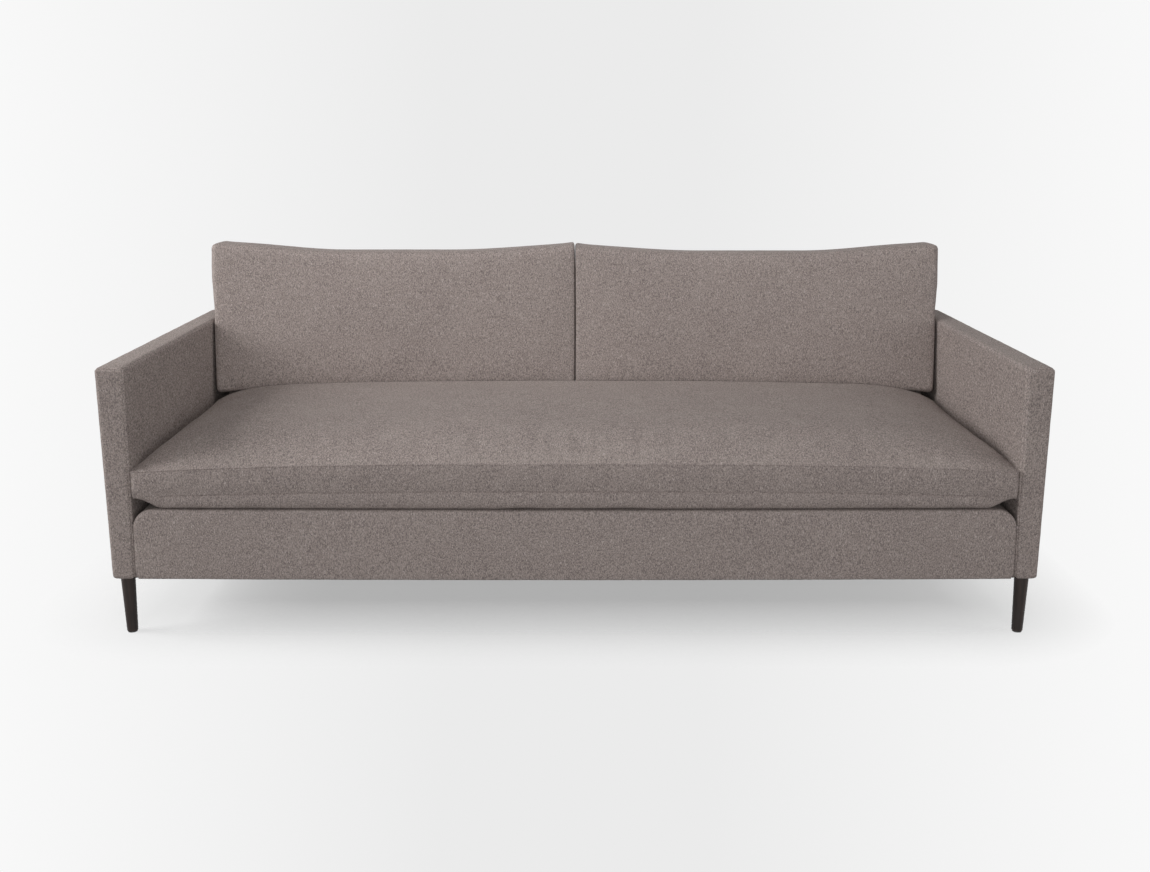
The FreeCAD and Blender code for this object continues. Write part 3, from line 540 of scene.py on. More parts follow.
# Each panel's edges turn in at its seams, and its middle stands a little proud of them. It puckers near a seam, and
# its slow waves set in further away.
panelLook = {
    "drop": 0.0010, "dropReach": 0.0018, "turn": 0.0050, "proud": 0.0008, "proudReach": 0.016, "cloth": 0.0016,
    "waves": 0.0007, "waveSize": 0.23, "waveReach": 0.03,
    "pucker": 0.00035, "puckerSize": 0.035, "puckerReach": 0.02, "puckerSeed": 50,
}
allSeams = (True, True, True, True)
hemmed = (False, True, True, True)
halfTurn = np.radians([9, 18, 27, 36, 45])
panelStep = 0.020
# further than anything here reaches, in metres
farOff = 9.0


def edgeDistance(grid, axis):
    steps = np.linalg.norm(np.diff(grid, axis=axis), axis=2)
    run = np.concatenate([np.zeros_like(np.take(steps, [0], axis=axis)), np.cumsum(steps, axis=axis)], axis=axis)
    return run, np.take(run, [-1], axis=axis) - run


# The seams are the first and last row and the first and last column
def sewnPanel(name, grid, replaces, outward, seed, seams=hemmed, finish="upholstery", look=panelLook):
    normals = gridNormals(grid)
    middle = normals[grid.shape[0] // 2, grid.shape[1] // 2]
    flip = float(middle @ np.array(outward)) < 0
    if flip:
        normals = -normals
    near = np.full(grid.shape[:2], farOff)
    for used, distance in zip(seams, (*edgeDistance(grid, 0), *edgeDistance(grid, 1))):
        if used:
            near = np.minimum(near, distance)
    lift = look["proud"] * (1 - np.exp(-near / look["proudReach"]))
    lift = lift - look["drop"] * np.exp(-(near / look["dropReach"]) ** 2)
    lift = lift + look["waves"] * softNoise(grid, look["waveSize"], seed) * (1 - np.exp(-near / look["waveReach"]))
    puckers = softNoise(grid, look["puckerSize"], seed + look["puckerSeed"])
    lift = lift + look["pucker"] * puckers * np.exp(-near / look["puckerReach"])
    grid = grid + normals * lift[..., None]
    for number, used in enumerate(seams):
        if used:
            axis, last = divmod(number, 2)
            rim = np.take(normals, [-last], axis=axis)
            turned = np.take(grid, [-last], axis=axis) - rim * look["turn"]
            grid = np.concatenate([grid, turned] if last else [turned, grid], axis=axis)
            normals = np.concatenate([normals, rim] if last else [rim, normals], axis=axis)
    piece = makePiece(name, grid.reshape(-1, 3), gridFaces(*grid.shape[:2], flip), finish, "carcass", replaces)
    return thicken(piece, look["cloth"])


# Pieces are drawn for the right side, and side is -1 where they go to the left
def placed(grid, side):
    return np.array(grid) * np.array([side, 1.0, 1.0])


# A wall's section from its hem under the frame up to the seam along its top edge: height and how far it is drawn in
def wallSection():
    hem, low, high = body["hem"], body["footEdge"], body["edge"]
    section = [(body["foot"], inset) for inset in np.linspace(hem, low, 4)]
    section += [(body["foot"] + low * (1 - math.cos(a)), low * (1 - math.sin(a)))
                for a in np.radians([18, 36, 54, 72, 90])]
    straight = body["armTop"] - high - (body["foot"] + low)
    shares = np.linspace(0, 1, round(straight / panelStep) + 1)[1:]
    section += [(body["foot"] + low + straight * s, 0.0) for s in shares]
    section += [(body["armTop"] - high + high * math.sin(a), high * (1 - math.cos(a))) for a in halfTurn]
    return section


# A wall follows a path seen from above, with the direction in which each point faces
def wallGrid(path, section):
    grid = np.zeros((len(section), len(path), 3))
    for row, (z, inset) in enumerate(section):
        for column, (x, y, outX, outY, radius) in enumerate(path):
            drawn = min(inset, radius)
            grid[row, column] = (x - outX * drawn, y - outY * drawn, z)
    return grid


def makeOuterArm(side, name):
    edge, corner, half = body["edge"], body["rearCorner"], body["halfWidth"]
    path = []
    for a in halfTurn[::-1]:
        path.append((half - edge + edge * math.cos(a), body["front"] + edge - edge * math.sin(a),
                     math.cos(a), -math.sin(a), edge))
    run = body["back"] - corner - (body["front"] + edge)
    for s in np.linspace(0, 1, round(run / panelStep) + 1):
        path.append((half, body["front"] + edge + run * s, 1.0, 0.0, farOff))
    for a in np.radians([12, 24, 36, 48, 60, 72, 84]):
        path.append((half - corner + corner * math.cos(a), body["back"] - corner + corner * math.sin(a),
                     math.cos(a), math.sin(a), corner))
    path.append((half - corner, body["back"], 0.0, 1.0, farOff))
    return sewnPanel("outerArm" + name, placed(wallGrid(path, wallSection()), side),
                     ["outside_arm_cover_" + name.lower()], (side, 0, 0), 11 if side > 0 else 12)


def makeArmFront(side, name):
    edge, half, front = body["edge"], body["halfWidth"], body["front"]
    grid = []
    for z, inset in wallSection():
        inner = armInner(min(z, body["armTop"]))
        left = edge - min(inset, edge)
        past = max(0.0, inset - edge)

        def bend(x, aside, turns):
            return [(x + aside * left * math.sin(a), front + edge - left * math.cos(a) + past, z) for a in turns]

        flat = [(inner + edge + (half - inner - 2 * edge) * s, front + inset, z) for s in np.linspace(0, 1, 5)[1:-1]]
        grid.append(bend(inner + edge, -1, [*halfTurn[::-1], 0]) + flat + bend(half - edge, 1, [0, *halfTurn]))
    return sewnPanel("armFront" + name, placed(grid, side), ["arm_front_panel_" + name.lower()], (0, -1, 0),
                     13 if side > 0 else 14)


# The inside of an arm and its top are one piece of cloth, from under the deck up and over to the outer seam
innerArm = {"lift": 0.004, "rearEase": 0.7}


def makeInnerArm(side, name):
    edge, corner, half, top = body["edge"], body["rearCorner"], body["halfWidth"], body["armTop"]
    low, ease = body["foot"] + innerArm["lift"], edge * innerArm["rearEase"]
    turn = edge * (1 - math.cos(math.radians(45)))
    rows = [(body["front"] + edge - edge * math.sin(a), edge * (1 - math.cos(a))) for a in halfTurn[::-1]]
    run = body["back"] - turn - (body["front"] + edge)
    rows += [(body["front"] + edge + s, 0.0) for s in seamPlaces(run, panelStep, False, True)]
    grid = []
    for y, inset in rows:
        outer = half - turn
        fromCorner = max(0.0, y - (body["back"] - corner))
        if fromCorner:
            outer = half - corner + math.sqrt(max(0.0, (corner - turn) ** 2 - fromCorner ** 2))
        rear = max(0.0, y - (body["back"] - turn - ease))
        sink = turn * (rear / ease) ** 2
        reach = edge - inset
        flatStart, flatEnd = armInner(top) + edge, outer - (edge - turn)
        line = [(armInner(z) + inset, y, z) for z in np.linspace(low, top - edge, 26)]
        for a in np.radians([15, 30, 45, 60, 75, 90]):
            line.append((flatStart - reach * math.cos(a), y, top - edge + reach * math.sin(a) - sink))
        for s in np.linspace(0, 1, 6)[1:]:
            line.append((flatStart + (flatEnd - armInner(top) - edge) * s, y, top - inset - sink))
        for a in halfTurn:
            line.append((flatEnd + reach * math.sin(a) * (outer - flatEnd) / (edge * math.sin(math.radians(45))), y,
                         top - edge + reach * math.cos(a) - sink * math.cos(a)))
        grid.append(line)
    return sewnPanel("innerArm" + name, placed(grid, side),
                     ["inside_arm_cover_" + name.lower(), "arm_padding_" + name.lower()], (-side, 0, 1),
                     15 if side > 0 else 16, (True, True, False, True))


# The inside back starts below the deck, turns over the top on a round and just reaches the arms
backStep = 0.022
insideBack = {"below": 0.05, "roundFrom": 0.9, "roundCentre": 0.88, "overlap": 0.0005}


def makeInsideBack():
    edge, top = body["edge"], body["armTop"]
    tilt = math.atan(body["lean"])
    low, high = body["deck"] - insideBack["below"], top - edge * insideBack["roundFrom"]
    section = [(insideBackAt(z), z) for z in np.linspace(low, high, 18)]
    start = insideBackAt(top) + edge * insideBack["roundCentre"]
    for a in np.linspace(-tilt + math.radians(12), math.radians(90), 7):
        section.append((start - edge * math.cos(a), top - edge + edge * math.sin(a)))
    rear = body["back"] - edge
    section += [(start + (rear - start) * s, top) for s in np.linspace(0, 1, 5)[1:]]
    section += [(rear + edge * math.sin(a), top - edge + edge * math.cos(a)) for a in halfTurn]
    half = armInner(top) + insideBack["overlap"]
    columns = -half + seamPlaces(2 * half, backStep)
    grid = np.array([[(x, y, z) for x in columns] for y, z in section])
    return sewnPanel("insideBack", grid, ["inside_back_cover", "back_padding"], (0, -1, 0), 17)


def makeOutsideBack():
    half = body["halfWidth"] - body["rearCorner"]
    path = [(half - s, body["back"], 0.0, 1.0, farOff) for s in seamPlaces(2 * half, backStep)]
    return sewnPanel("outsideBack", wallGrid(path, wallSection()), ["outside_back_cover"], (0, 1, 0), 18)


for side, name in ((1, "Right"), (-1, "Left")):
    makeOuterArm(side, name)
    makeArmFront(side, name)
    makeInnerArm(side, name)
makeInsideBack()
makeOutsideBack()
print("arms and back covered")

# The border bows forward a little and is rounded at its top corners. A lip turns back round its edge.
border = {
    "bow": 0.010,
    "corner": 0.045,
    "lip": 0.008,
    "footLip": 0.005,
    "hemEnd": 0.012,
    "return": 0.110,
    "gap": 0.0003,
    "belly": 0.0020,
    "step": 0.018,
    "waves": 0.0005,
    "waveSize": 0.20,
}


def borderFront(x):
    return body["front"] - border["bow"] * (1 - (x / body["halfWidth"]) ** 2)


def makeBorder():
    lip, footLip, corner = border["lip"], border["footLip"], border["corner"]
    top, foot = body["deck"], body["foot"]
    inner = corner - lip
    ends = [inner * (1 - math.cos(a)) for a in np.radians(np.linspace(0, 90, 10))]
    width = 2 * (armInner(top) - border["gap"] - lip)
    middle = np.linspace(inner, width - inner, round((width - 2 * inner) / border["step"]) + 1)[1:-1]
    places = np.concatenate([ends, middle, width - np.array(ends[::-1])]) - width / 2
    shoulder = top - corner
    front = []
    for share in np.linspace(0, 1, 9):
        line = []
        for x in places:
            past = max(0.0, abs(x) - (width / 2 - inner))
            topHere = shoulder + math.sqrt(max(0.0, inner ** 2 - past ** 2)) if past else top - lip
            z = foot + footLip + (topHere - foot - footLip) * share
            spreadOut = armInner(z) - armInner(top)
            lean = x + math.copysign(spreadOut * (abs(x) / (width / 2)) ** 6, x)
            bellied = border["belly"] * math.sin(math.pi * share) * (1 - (abs(x) / (width / 2)) ** 8)
            line.append((lean, borderFront(lean) - bellied, z))
        front.append(line)
    front = np.array(front)
    # the hem under the front rail
    hemRows = [front[0] + np.array([0, inset, -footLip]) for inset in (body["hem"], border["hemEnd"])]
    for a in np.radians([0, 22, 45, 67]):
        hemRows.append(front[0] + np.array([0, footLip * (1 - math.sin(a)), -footLip * math.cos(a)]))
    grid = np.concatenate([np.array(hemRows), front], axis=0)
    rowsCount, columnsCount = grid.shape[:2]
    points = list(grid.reshape(-1, 3))
    faces = gridFaces(rowsCount, columnsCount, True)
    firstFront = len(hemRows)
    # the lip runs up the left side, over the top and down the right side
    loop = [(r, 0) for r in range(firstFront, rowsCount)]
    loop += [(rowsCount - 1, c) for c in range(1, columnsCount - 1)]
    loop += [(r, columnsCount - 1) for r in range(rowsCount - 1, firstFront - 1, -1)]
    ringBefore = [r * columnsCount + c for r, c in loop]
    facing = []
    for r, c in loop:
        x, _, z = grid[r, c]
        past = abs(x) - (width / 2 - inner)
        if z < shoulder or c in (0, columnsCount - 1):
            direction = np.array([math.copysign(1.0, x), 0.0, 0.0])
        elif past > 0:
            direction = np.array([math.copysign(past, x), 0.0, math.sqrt(max(0.0, inner ** 2 - past ** 2))])
            direction /= np.linalg.norm(direction)
        else:
            direction = np.array([0.0, 0.0, 1.0])
        facing.append(direction)
    steps = [(lip * math.sin(a), lip * (1 - math.cos(a))) for a in np.radians([20, 40, 60, 75, 90])]
    steps += [(lip, lip + s) for s in np.linspace(0, border["return"] - lip, 7)[1:]]
    for outward, back in steps:
        ring = []
        for (r, c), direction in zip(loop, facing):
            points.append(grid[r, c] + direction * outward + np.array([0, back, 0]))
            ring.append(len(points) - 1)
        for n in range(len(ring) - 1):
            faces.append((ringBefore[n], ring[n], ring[n + 1], ringBefore[n + 1])[::-1])
        ringBefore = ring
    points = np.array(points)
    points[:, 1] += border["waves"] * softNoise(points, border["waveSize"], 21)
    piece = makePiece("border", points, faces, "upholstery", "carcass", ["border_cover", "border_padding"])
    return thicken(piece, panelLook["cloth"])


def flatGrid(columns, rows, z):
    return np.array([[(x, y, z) for x in columns] for y in rows])


# The lining lies just under the seat cushion, between border, arms and inside back
deck = {"gap": 0.001, "sink": 0.0012, "step": 0.025, "look": dict(panelLook, proud=0.0006, waves=0.0003)}


def makeDeck():
    y0 = body["front"] + border["return"]
    y1 = insideBackAt(body["deck"]) - deck["gap"]
    half = armInner(body["deck"]) - deck["gap"]
    grid = flatGrid(-half + seamPlaces(2 * half, deck["step"]), y0 + seamPlaces(y1 - y0, deck["step"]),
                    body["deck"] - deck["sink"])
    return sewnPanel("deckLining", grid, ["deck_cover", "deck_padding"], (0, 0, 1), 22, allSeams, "lining",
                     deck["look"])


# The dust cloth hangs a little in the middle, inside its margins
dustCloth = {
    "side": 0.020, "front": 0.012, "rear": 0.016, "below": 0.0004, "step": 0.030,
    "sag": 0.0012, "sagAcross": 0.3, "sagAlong": 0.25,
    "look": dict(panelLook, proud=0.0, waves=0.0002, turn=0.0006, drop=0.0, cloth=0.0005),
}


def makeDustCover():
    half = body["halfWidth"] - dustCloth["side"]
    depth = body["back"] - dustCloth["rear"] - body["front"] - dustCloth["front"]
    rows = body["front"] + dustCloth["front"] + seamPlaces(depth, dustCloth["step"])
    grid = flatGrid(-half + seamPlaces(2 * half, dustCloth["step"]), rows, body["foot"] - dustCloth["below"])
    across = np.clip((half - np.abs(grid[..., 0])) / dustCloth["sagAcross"], 0, 1)
    along = np.clip(np.minimum(grid[..., 1] - rows[0], rows[-1] - grid[..., 1]) / dustCloth["sagAlong"], 0, 1)
    grid[..., 2] -= dustCloth["sag"] * np.sin(across * math.pi / 2) * np.sin(along * math.pi / 2)
    piece = sewnPanel("dustCloth", grid, ["dust_cover"], (0, 0, -1), 23, allSeams, "black_cloth", dustCloth["look"])
    return piece


makeBorder()
makeDeck()
makeDustCover()
print("border, deck and dust cloth made")


# A closed box of quads, with as many points along each side as its three lists have places. Gives each point's
# numbers along the sides, the faces and the last number of each side.
def boxShell(*sides):
    counts = [len(side) - 1 for side in sides]
    index = {}
    faces = []
    turns = [(0, 0), (0, 1), (1, 1), (1, 0)], [(0, 0), (1, 0), (1, 1), (0, 1)]
    for first, second, fixed, turn in ((0, 1, 2, 0), (0, 2, 1, 1), (1, 2, 0, 0)):
        for p in range(counts[first]):
            for q in range(counts[second]):
                for level, steps in ((0, turns[turn]), (counts[fixed], turns[1 - turn])):
                    face = []
                    for stepP, stepQ in steps:
                        key = {first: p + stepP, second: q + stepQ, fixed: level}
                        face.append(index.setdefault((key[0], key[1], key[2]), len(index)))
                    faces.append(tuple(face))
    return np.array(list(index)), faces, counts


def onRim(keys, counts):
    return (keys[:, 0] == 0) | (keys[:, 0] == counts[0]) | (keys[:, 1] == 0) | (keys[:, 1] == counts[1])


def vertexNormals(points, faces):
    faces = np.array(faces)
    normal = np.cross(points[faces[:, 2]] - points[faces[:, 0]], points[faces[:, 3]] - points[faces[:, 1]])
    total = np.zeros_like(points)
    for n in range(4):
        np.add.at(total, faces[:, n], normal)
    return total / np.maximum(np.linalg.norm(total, axis=1, keepdims=True), 1e-12)


# The cloth swells between its seams under a little air pressure. Seams and resting faces are held.
puff = {"quality": 4, "mass": 0.25, "stiffness": 12.0, "shear": 0.4, "bending": 0.6, "frames": 20, "cap": 0.0030}


def puffUp(points, faces, held, pressure, spare):
    piece, mesh = bareMesh("puffing", points, faces)
    group = piece.vertex_groups.new(name="held")
    group.add([int(n) for n in np.flatnonzero(held)], 1.0, "REPLACE")
    cloth = piece.modifiers.new("cloth", "CLOTH")
    settings = cloth.settings
    settings.quality = puff["quality"]
    settings.mass = puff["mass"]
    settings.tension_stiffness = puff["stiffness"]
    settings.compression_stiffness = puff["stiffness"]
    settings.shear_stiffness = puff["stiffness"] * puff["shear"]
    settings.bending_stiffness = puff["bending"]
    settings.use_pressure = True
    settings.uniform_pressure_force = pressure
    settings.shrink_min = -spare
    settings.vertex_group_mass = "held"
    settings.effector_weights.gravity = 0.0
    cloth.collision_settings.use_collision = False
    cloth.point_cache.frame_start = 1
    cloth.point_cache.frame_end = puff["frames"]
    for number in range(1, puff["frames"] + 1):
        scene.frame_set(number)
    view = bpy.context.evaluated_depsgraph_get()
    moved = np.zeros(len(points) * 3, np.float32)
    piece.evaluated_get(view).data.vertices.foreach_get("co", moved)
    scene.frame_set(1)
    bpy.data.objects.remove(piece)
    bpy.data.meshes.remove(mesh)
    move = moved.reshape(-1, 3).astype(float) - points
    length = np.linalg.norm(move, axis=1, keepdims=True)
    limit = puff["cap"] * np.tanh(length / puff["cap"])
    return points + move / np.maximum(length, 1e-9) * limit


def smoothStep(value, low, high):
    t = np.clip((value - low) / (high - low), 0, 1)
    return t * t * (3 - 2 * t)


# The long seat cushion: a crowned top panel, a boxing strip and a bottom panel that curves under
seat = {
    "half": 1.0185,
    "front": -0.4798,
    "frontBow": 0.0050,
    "frontLean": 0.0040,
    "leanFade": 8,
    "rear": 0.355,
    "foot": 0.3184,
    "topSeamMid": 0.429,
    "topSeamEnd": 0.409,
    "lowSeamMid": 0.3625,
    "lowSeamEnd": 0.3475,
    "underEdge": 0.012,
    "underShare": 0.8,
    "underLean": 0.003,
    "underBulge": 0.0015,
    "tucked": 0.085,
    "crown": 0.058,
    "shoulder": 0.245,
    "shoulderPower": 0.56,
    "endLift": 0.0255,
    "endLiftStart": 0.004,
    "endLiftLength": 0.066,
    "boxingBulge": 0.004,
    "endBulge": 0.5,
    "corner": 0.012,
    "imprintY": 0.2262,
    "imprintZ": 0.4518,
    "backEdge": 0.020,
    "backGive": 0.0015,
    "pressedNear": 0.004,
    "pressedClear": 0.009,
    "pressedRows": (-0.006, -0.003, -0.0005, 0.0008, 0.003, 0.007),
    "restingNear": 0.001,
    "armRoom": 0.0008,
    "rearFlat": 0.0006,
    "step": 0.0125,
    "boxingStep": 0.010,
}
seatPuff = {"pressure": 3.0, "spare": 0.012}

# Gathers run back from the front seam, a filled cushion is slowly uneven, and the boxing is less so
seatFolds = {
    "gather": 0.0015, "gatherSize": 0.042, "gatherStretch": (1.0, 0.16, 0.16),
    "gatherReach": 0.06, "gatherStart": 0.014,
    "slow": 0.0022, "slowSize": 0.42, "slowStart": 0.08,
    "boxing": 0.0006, "boxingSize": 0.10,
}

# The top seam stands up as a crisp edge over a narrow valley, and the lower one lies in a valley of its own
seatSeams = {"ridge": 0.0024, "valley": 0.0014, "lowValley": 0.0026}

# The crown rises behind the front seam and falls to the rear one: how far each reaches, and how it bends
crown = {
    "front": 0.30, "frontBend": 2.35, "frontPower": 0.85,
    "rear": 0.17, "rearBend": 2.5, "rearPower": 0.7,
    "fall": 0.05, "fallFrom": 0.27, "fallTo": 0.84, "least": 0.04,
}


# The panel under the cushion goes straight down from its seam, turns under on a small round and lies flat.
# Takes the distance from the seam and the height to fall, and gives how far in and how far down.
def tuckUnder(distance, fall, depth):
    radius = np.minimum(seat["underEdge"], seat["underShare"] * fall)
    straight = fall - radius
    bend = radius * math.pi / 2
    share = np.clip(distance / np.maximum(straight, 1e-6), 0, 1)
    angle = np.clip((distance - straight) / np.maximum(radius, 1e-6), 0, math.pi / 2)
    flat = np.maximum(distance - straight - bend, 0)
    inward = seat["underLean"] * share - seat["underBulge"] * np.sin(math.pi * share)
    inward = inward + radius * (1 - np.cos(angle)) + flat
    down = straight * share + radius * np.sin(angle)
    # past the tucked part the panel evens out its spacing
    reached = seat["tucked"]
    atReach = seat["underLean"] + radius + (reached - straight - bend)
    even = atReach + (distance - reached) * (depth - atReach) / (depth - reached)
    return np.where(distance > reached, even, inward), down


def crownAlong(t):
    front = (1 - (1 - np.clip(t / crown["front"], 0, 1)) ** crown["frontBend"]) ** crown["frontPower"]
    rear = (1 - (1 - np.clip((1 - t) / crown["rear"], 0, 1)) ** crown["rearBend"]) ** crown["rearPower"]
    return front * rear * (1 - crown["fall"] * smoothStep(t, crown["fallFrom"], crown["fallTo"]))


def crownAcross(x):
    past = np.clip((np.abs(x) - (seat["half"] - seat["shoulder"])) / seat["shoulder"], 0, 1)
    return np.maximum(crown["least"], (1 - past ** 2) ** seat["shoulderPower"])


def seatSurface(keys, counts, across, along, up):
    x = across[keys[:, 0]]
    t = along[keys[:, 1]]
    u = up[keys[:, 2]]
    share = np.abs(x) / seat["half"]
    seam = seat["topSeamEnd"] + (seat["topSeamMid"] - seat["topSeamEnd"]) * (1 - share ** 3)
    low = seat["lowSeamEnd"] + (seat["lowSeamMid"] - seat["lowSeamEnd"]) * (1 - share ** 3)
    frontY = seat["front"] - seat["frontBow"] * (1 - share ** 2)
    depth = seat["rear"] - frontY
    y = frontY + depth * t
    y = y + seat["frontLean"] * (1 - u) * np.exp(-seat["leanFade"] * t)
    z = low + (seam - low) * u
    top = keys[:, 2] == counts[2]
    bottom = keys[:, 2] == 0
    z = np.where(top, seam + seat["crown"] * crownAcross(x) * crownAlong(t), z)
    # the bottom panel curves in from the lower seam to the flat that rests on the deck
    atEnd = 1 - smoothStep(seat["half"] - np.abs(x), seat["endLiftStart"], seat["endLiftLength"])
    foot = seat["foot"] + seat["endLift"] * atEnd
    inward, down = tuckUnder(depth * t, low - foot, depth)
    inRear = np.clip((seat["rear"] - y) / seat["underEdge"], 0, 1)
    down = np.minimum(down, (low - foot) * np.sqrt(1 - (1 - inRear) ** 2))
    y = np.where(bottom, frontY + seat["frontLean"] * np.exp(-seat["leanFade"] * t) + inward, y)
    z = np.where(bottom, low - down, z)
    points = np.stack([x, y, z], axis=1)
    # boxing bulges between its seams
    boxing = ~top & ~bottom
    swell = seat["boxingBulge"] * np.sin(math.pi * u)
    points[:, 1] -= np.where(boxing & (keys[:, 1] == 0), swell, 0)
    points[:, 0] += (np.where(boxing & (keys[:, 0] == counts[0]), swell * seat["endBulge"], 0)
                     - np.where(boxing & (keys[:, 0] == 0), swell * seat["endBulge"], 0))
    # rounded corners seen from above
    radius = seat["corner"]
    coreX = np.clip(points[:, 0], -seat["half"] + radius, seat["half"] - radius)
    coreY = np.maximum(points[:, 1], frontY + radius)
    offX, offY = points[:, 0] - coreX, points[:, 1] - coreY
    reach = np.hypot(offX, offY)
    much = (reach > radius) & (np.abs(offX) > 1e-6) & (np.abs(offY) > 1e-6)
    shrink = np.where(much, radius / np.maximum(reach, 1e-9), 1.0)
    points[:, 0] = coreX + offX * shrink
    points[:, 1] = coreY + offY * shrink
    return points, top, bottom


# The back cushions press their rounded lower edge into the crown
def backImprint(points, top):
    y, z = points[:, 1], points[:, 2]
    radius = seat["backEdge"] + seat["backGive"]
    centreY = seat["imprintY"] + radius
    along = np.clip((y - centreY) / radius, -1, 0)
    limit = np.where(y < seat["imprintY"], farOff, seat["imprintZ"] + radius * (1 - np.sqrt(1 - along ** 2)))
    return np.where(top, np.minimum(z, limit), z)


def makeSeatCushion():
    length = 2 * seat["half"]
    across = -seat["half"] + seamPlaces(length, seat["step"])
    depth = seat["rear"] - seat["front"] + seat["frontBow"]
    step = seamPlaces(depth, seat["step"])
    # more rows where the back cushions press in
    pressed = seat["imprintY"] - seat["front"] + seat["frontBow"]
    rows = pressed + np.array(seat["pressedRows"])
    step = np.sort(np.concatenate([step[np.abs(step - pressed) > seat["pressedClear"]], rows]))
    boxingHeight = seat["topSeamMid"] - seat["lowSeamMid"]
    sides = across, step / depth, seamPlaces(boxingHeight, seat["boxingStep"]) / boxingHeight
    keys, faces, counts = boxShell(*sides)
    points, top, bottom = seatSurface(keys, counts, *sides)
    seams = onRim(keys, counts) & (top | bottom)
    resting = bottom & (points[:, 2] < seat["foot"] + seat["restingNear"])
    pressedIn = top & (points[:, 1] > seat["imprintY"] - seat["pressedNear"])
    points[:, 2] = backImprint(points, top)
    points = puffUp(points, faces, seams | resting | pressedIn, **seatPuff)
    # the arms hold the ends of the cushion
    room = armInner(points[:, 2]) - seat["armRoom"]
    points[:, 0] = np.clip(points[:, 0], -room, room)
    normals = vertexNormals(points, faces)
    behind = np.clip(points[:, 1] - (seat["front"] - seat["frontBow"]), 0, None)
    gather = softNoise(points * np.array(seatFolds["gatherStretch"]), seatFolds["gatherSize"], 31)
    start = 1 - np.exp(-(behind / seatFolds["gatherStart"]) ** 2)
    gather = gather * np.exp(-behind / seatFolds["gatherReach"]) * start
    slow = softNoise(points, seatFolds["slowSize"], 32) * (1 - np.exp(-behind / seatFolds["slowStart"]))
    free = np.where(top & ~pressedIn, 1.0, 0.0)
    points = points + normals * (free * (seatFolds["gather"] * gather + seatFolds["slow"] * slow))[:, None]
    boxing = ~top & ~bottom
    uneven = seatFolds["boxing"] * softNoise(points, seatFolds["boxingSize"], 33)
    points = points + normals * np.where(boxing, uneven, 0)[:, None]
    belowSeam = boxing & (keys[:, 2] == counts[2] - 1)
    raised = np.where(seams & top, seatSeams["ridge"], 0) - np.where(belowSeam, seatSeams["valley"], 0)
    raised = raised - np.where(seams & bottom, seatSeams["lowValley"], 0)
    points = points + normals * raised[:, None]
    # the rear lies flat, so that the zip shows along its whole length
    points[:, 1] = np.minimum(points[:, 1], seat["rear"] - seat["rearFlat"])
    piece = makePiece("seatCushion", points, faces, "upholstery", "seat_cushion",
                      ["seat_cushion_cover", "seat_cushion_wrap", "seat_cushion_core"])
    smoother(piece)
    return piece


# A loose back cushion: its front swells, its top corners stand up as ears, and it leans back
pillow = {
    "inner": 0.0006,
    "outer": 1.0105,
    "front": 0.225,
    "depth": 0.15225,
    "foot": 0.4532,
    "topMid": {1: 0.8340, -1: 0.8366},
    "innerEar": 0.0200,
    "outerEar": 0.0215,
    "edge": 0.018,
    "crest": 0.020,
    "innerEnd": 0.007,
    "outerEnd": 0.012,
    "bulge": 0.016,
    "bulgeFade": 0.9,
    "bulgePower": 0.8,
    "bulgeFoot": 0.02,
    "bulgeSpan": 0.94,
    "heldBelow": 0.5,
    "endSharper": 0.45,
    "sideSwell": 0.007,
    "droop": 0.006,
    "meetingWave": 0.004,
    "meetingReach": 0.06,
    "step": 0.0125,
    "seamBack": 0.022,
    "lapStep": 0.008,
}
pillowPuff = {"pressure": 2.5, "spare": 0.010}

# Where each form sets in and where it is full, as shares of the height or of the way from the middle to an end
pillowRanges = {
    "crest": (0.80, 0.97), "endAside": (0.90, 0.99), "endUp": (0.5, 0.9),
    "outerEar": (0.3, 1.0), "innerEar": (0.3, 1.15), "droop": (0.86, 1.0),
    "swellUp": (0.52, 0.78), "swellAside": (0.80, 1.0),
}

# The front is slowly uneven, and the seam lies in a valley
pillowFolds = {"slow": 0.0020, "slowSize": 0.36, "slowStart": 0.06, "valley": 0.0012}


# Even places with two closer ones by each end
def pillowPlaces(length):
    near = np.array([0.005, 0.009])
    even = np.linspace(0, length, round(length / pillow["step"]) + 1)
    return np.sort(np.concatenate([even, near, length - near]))


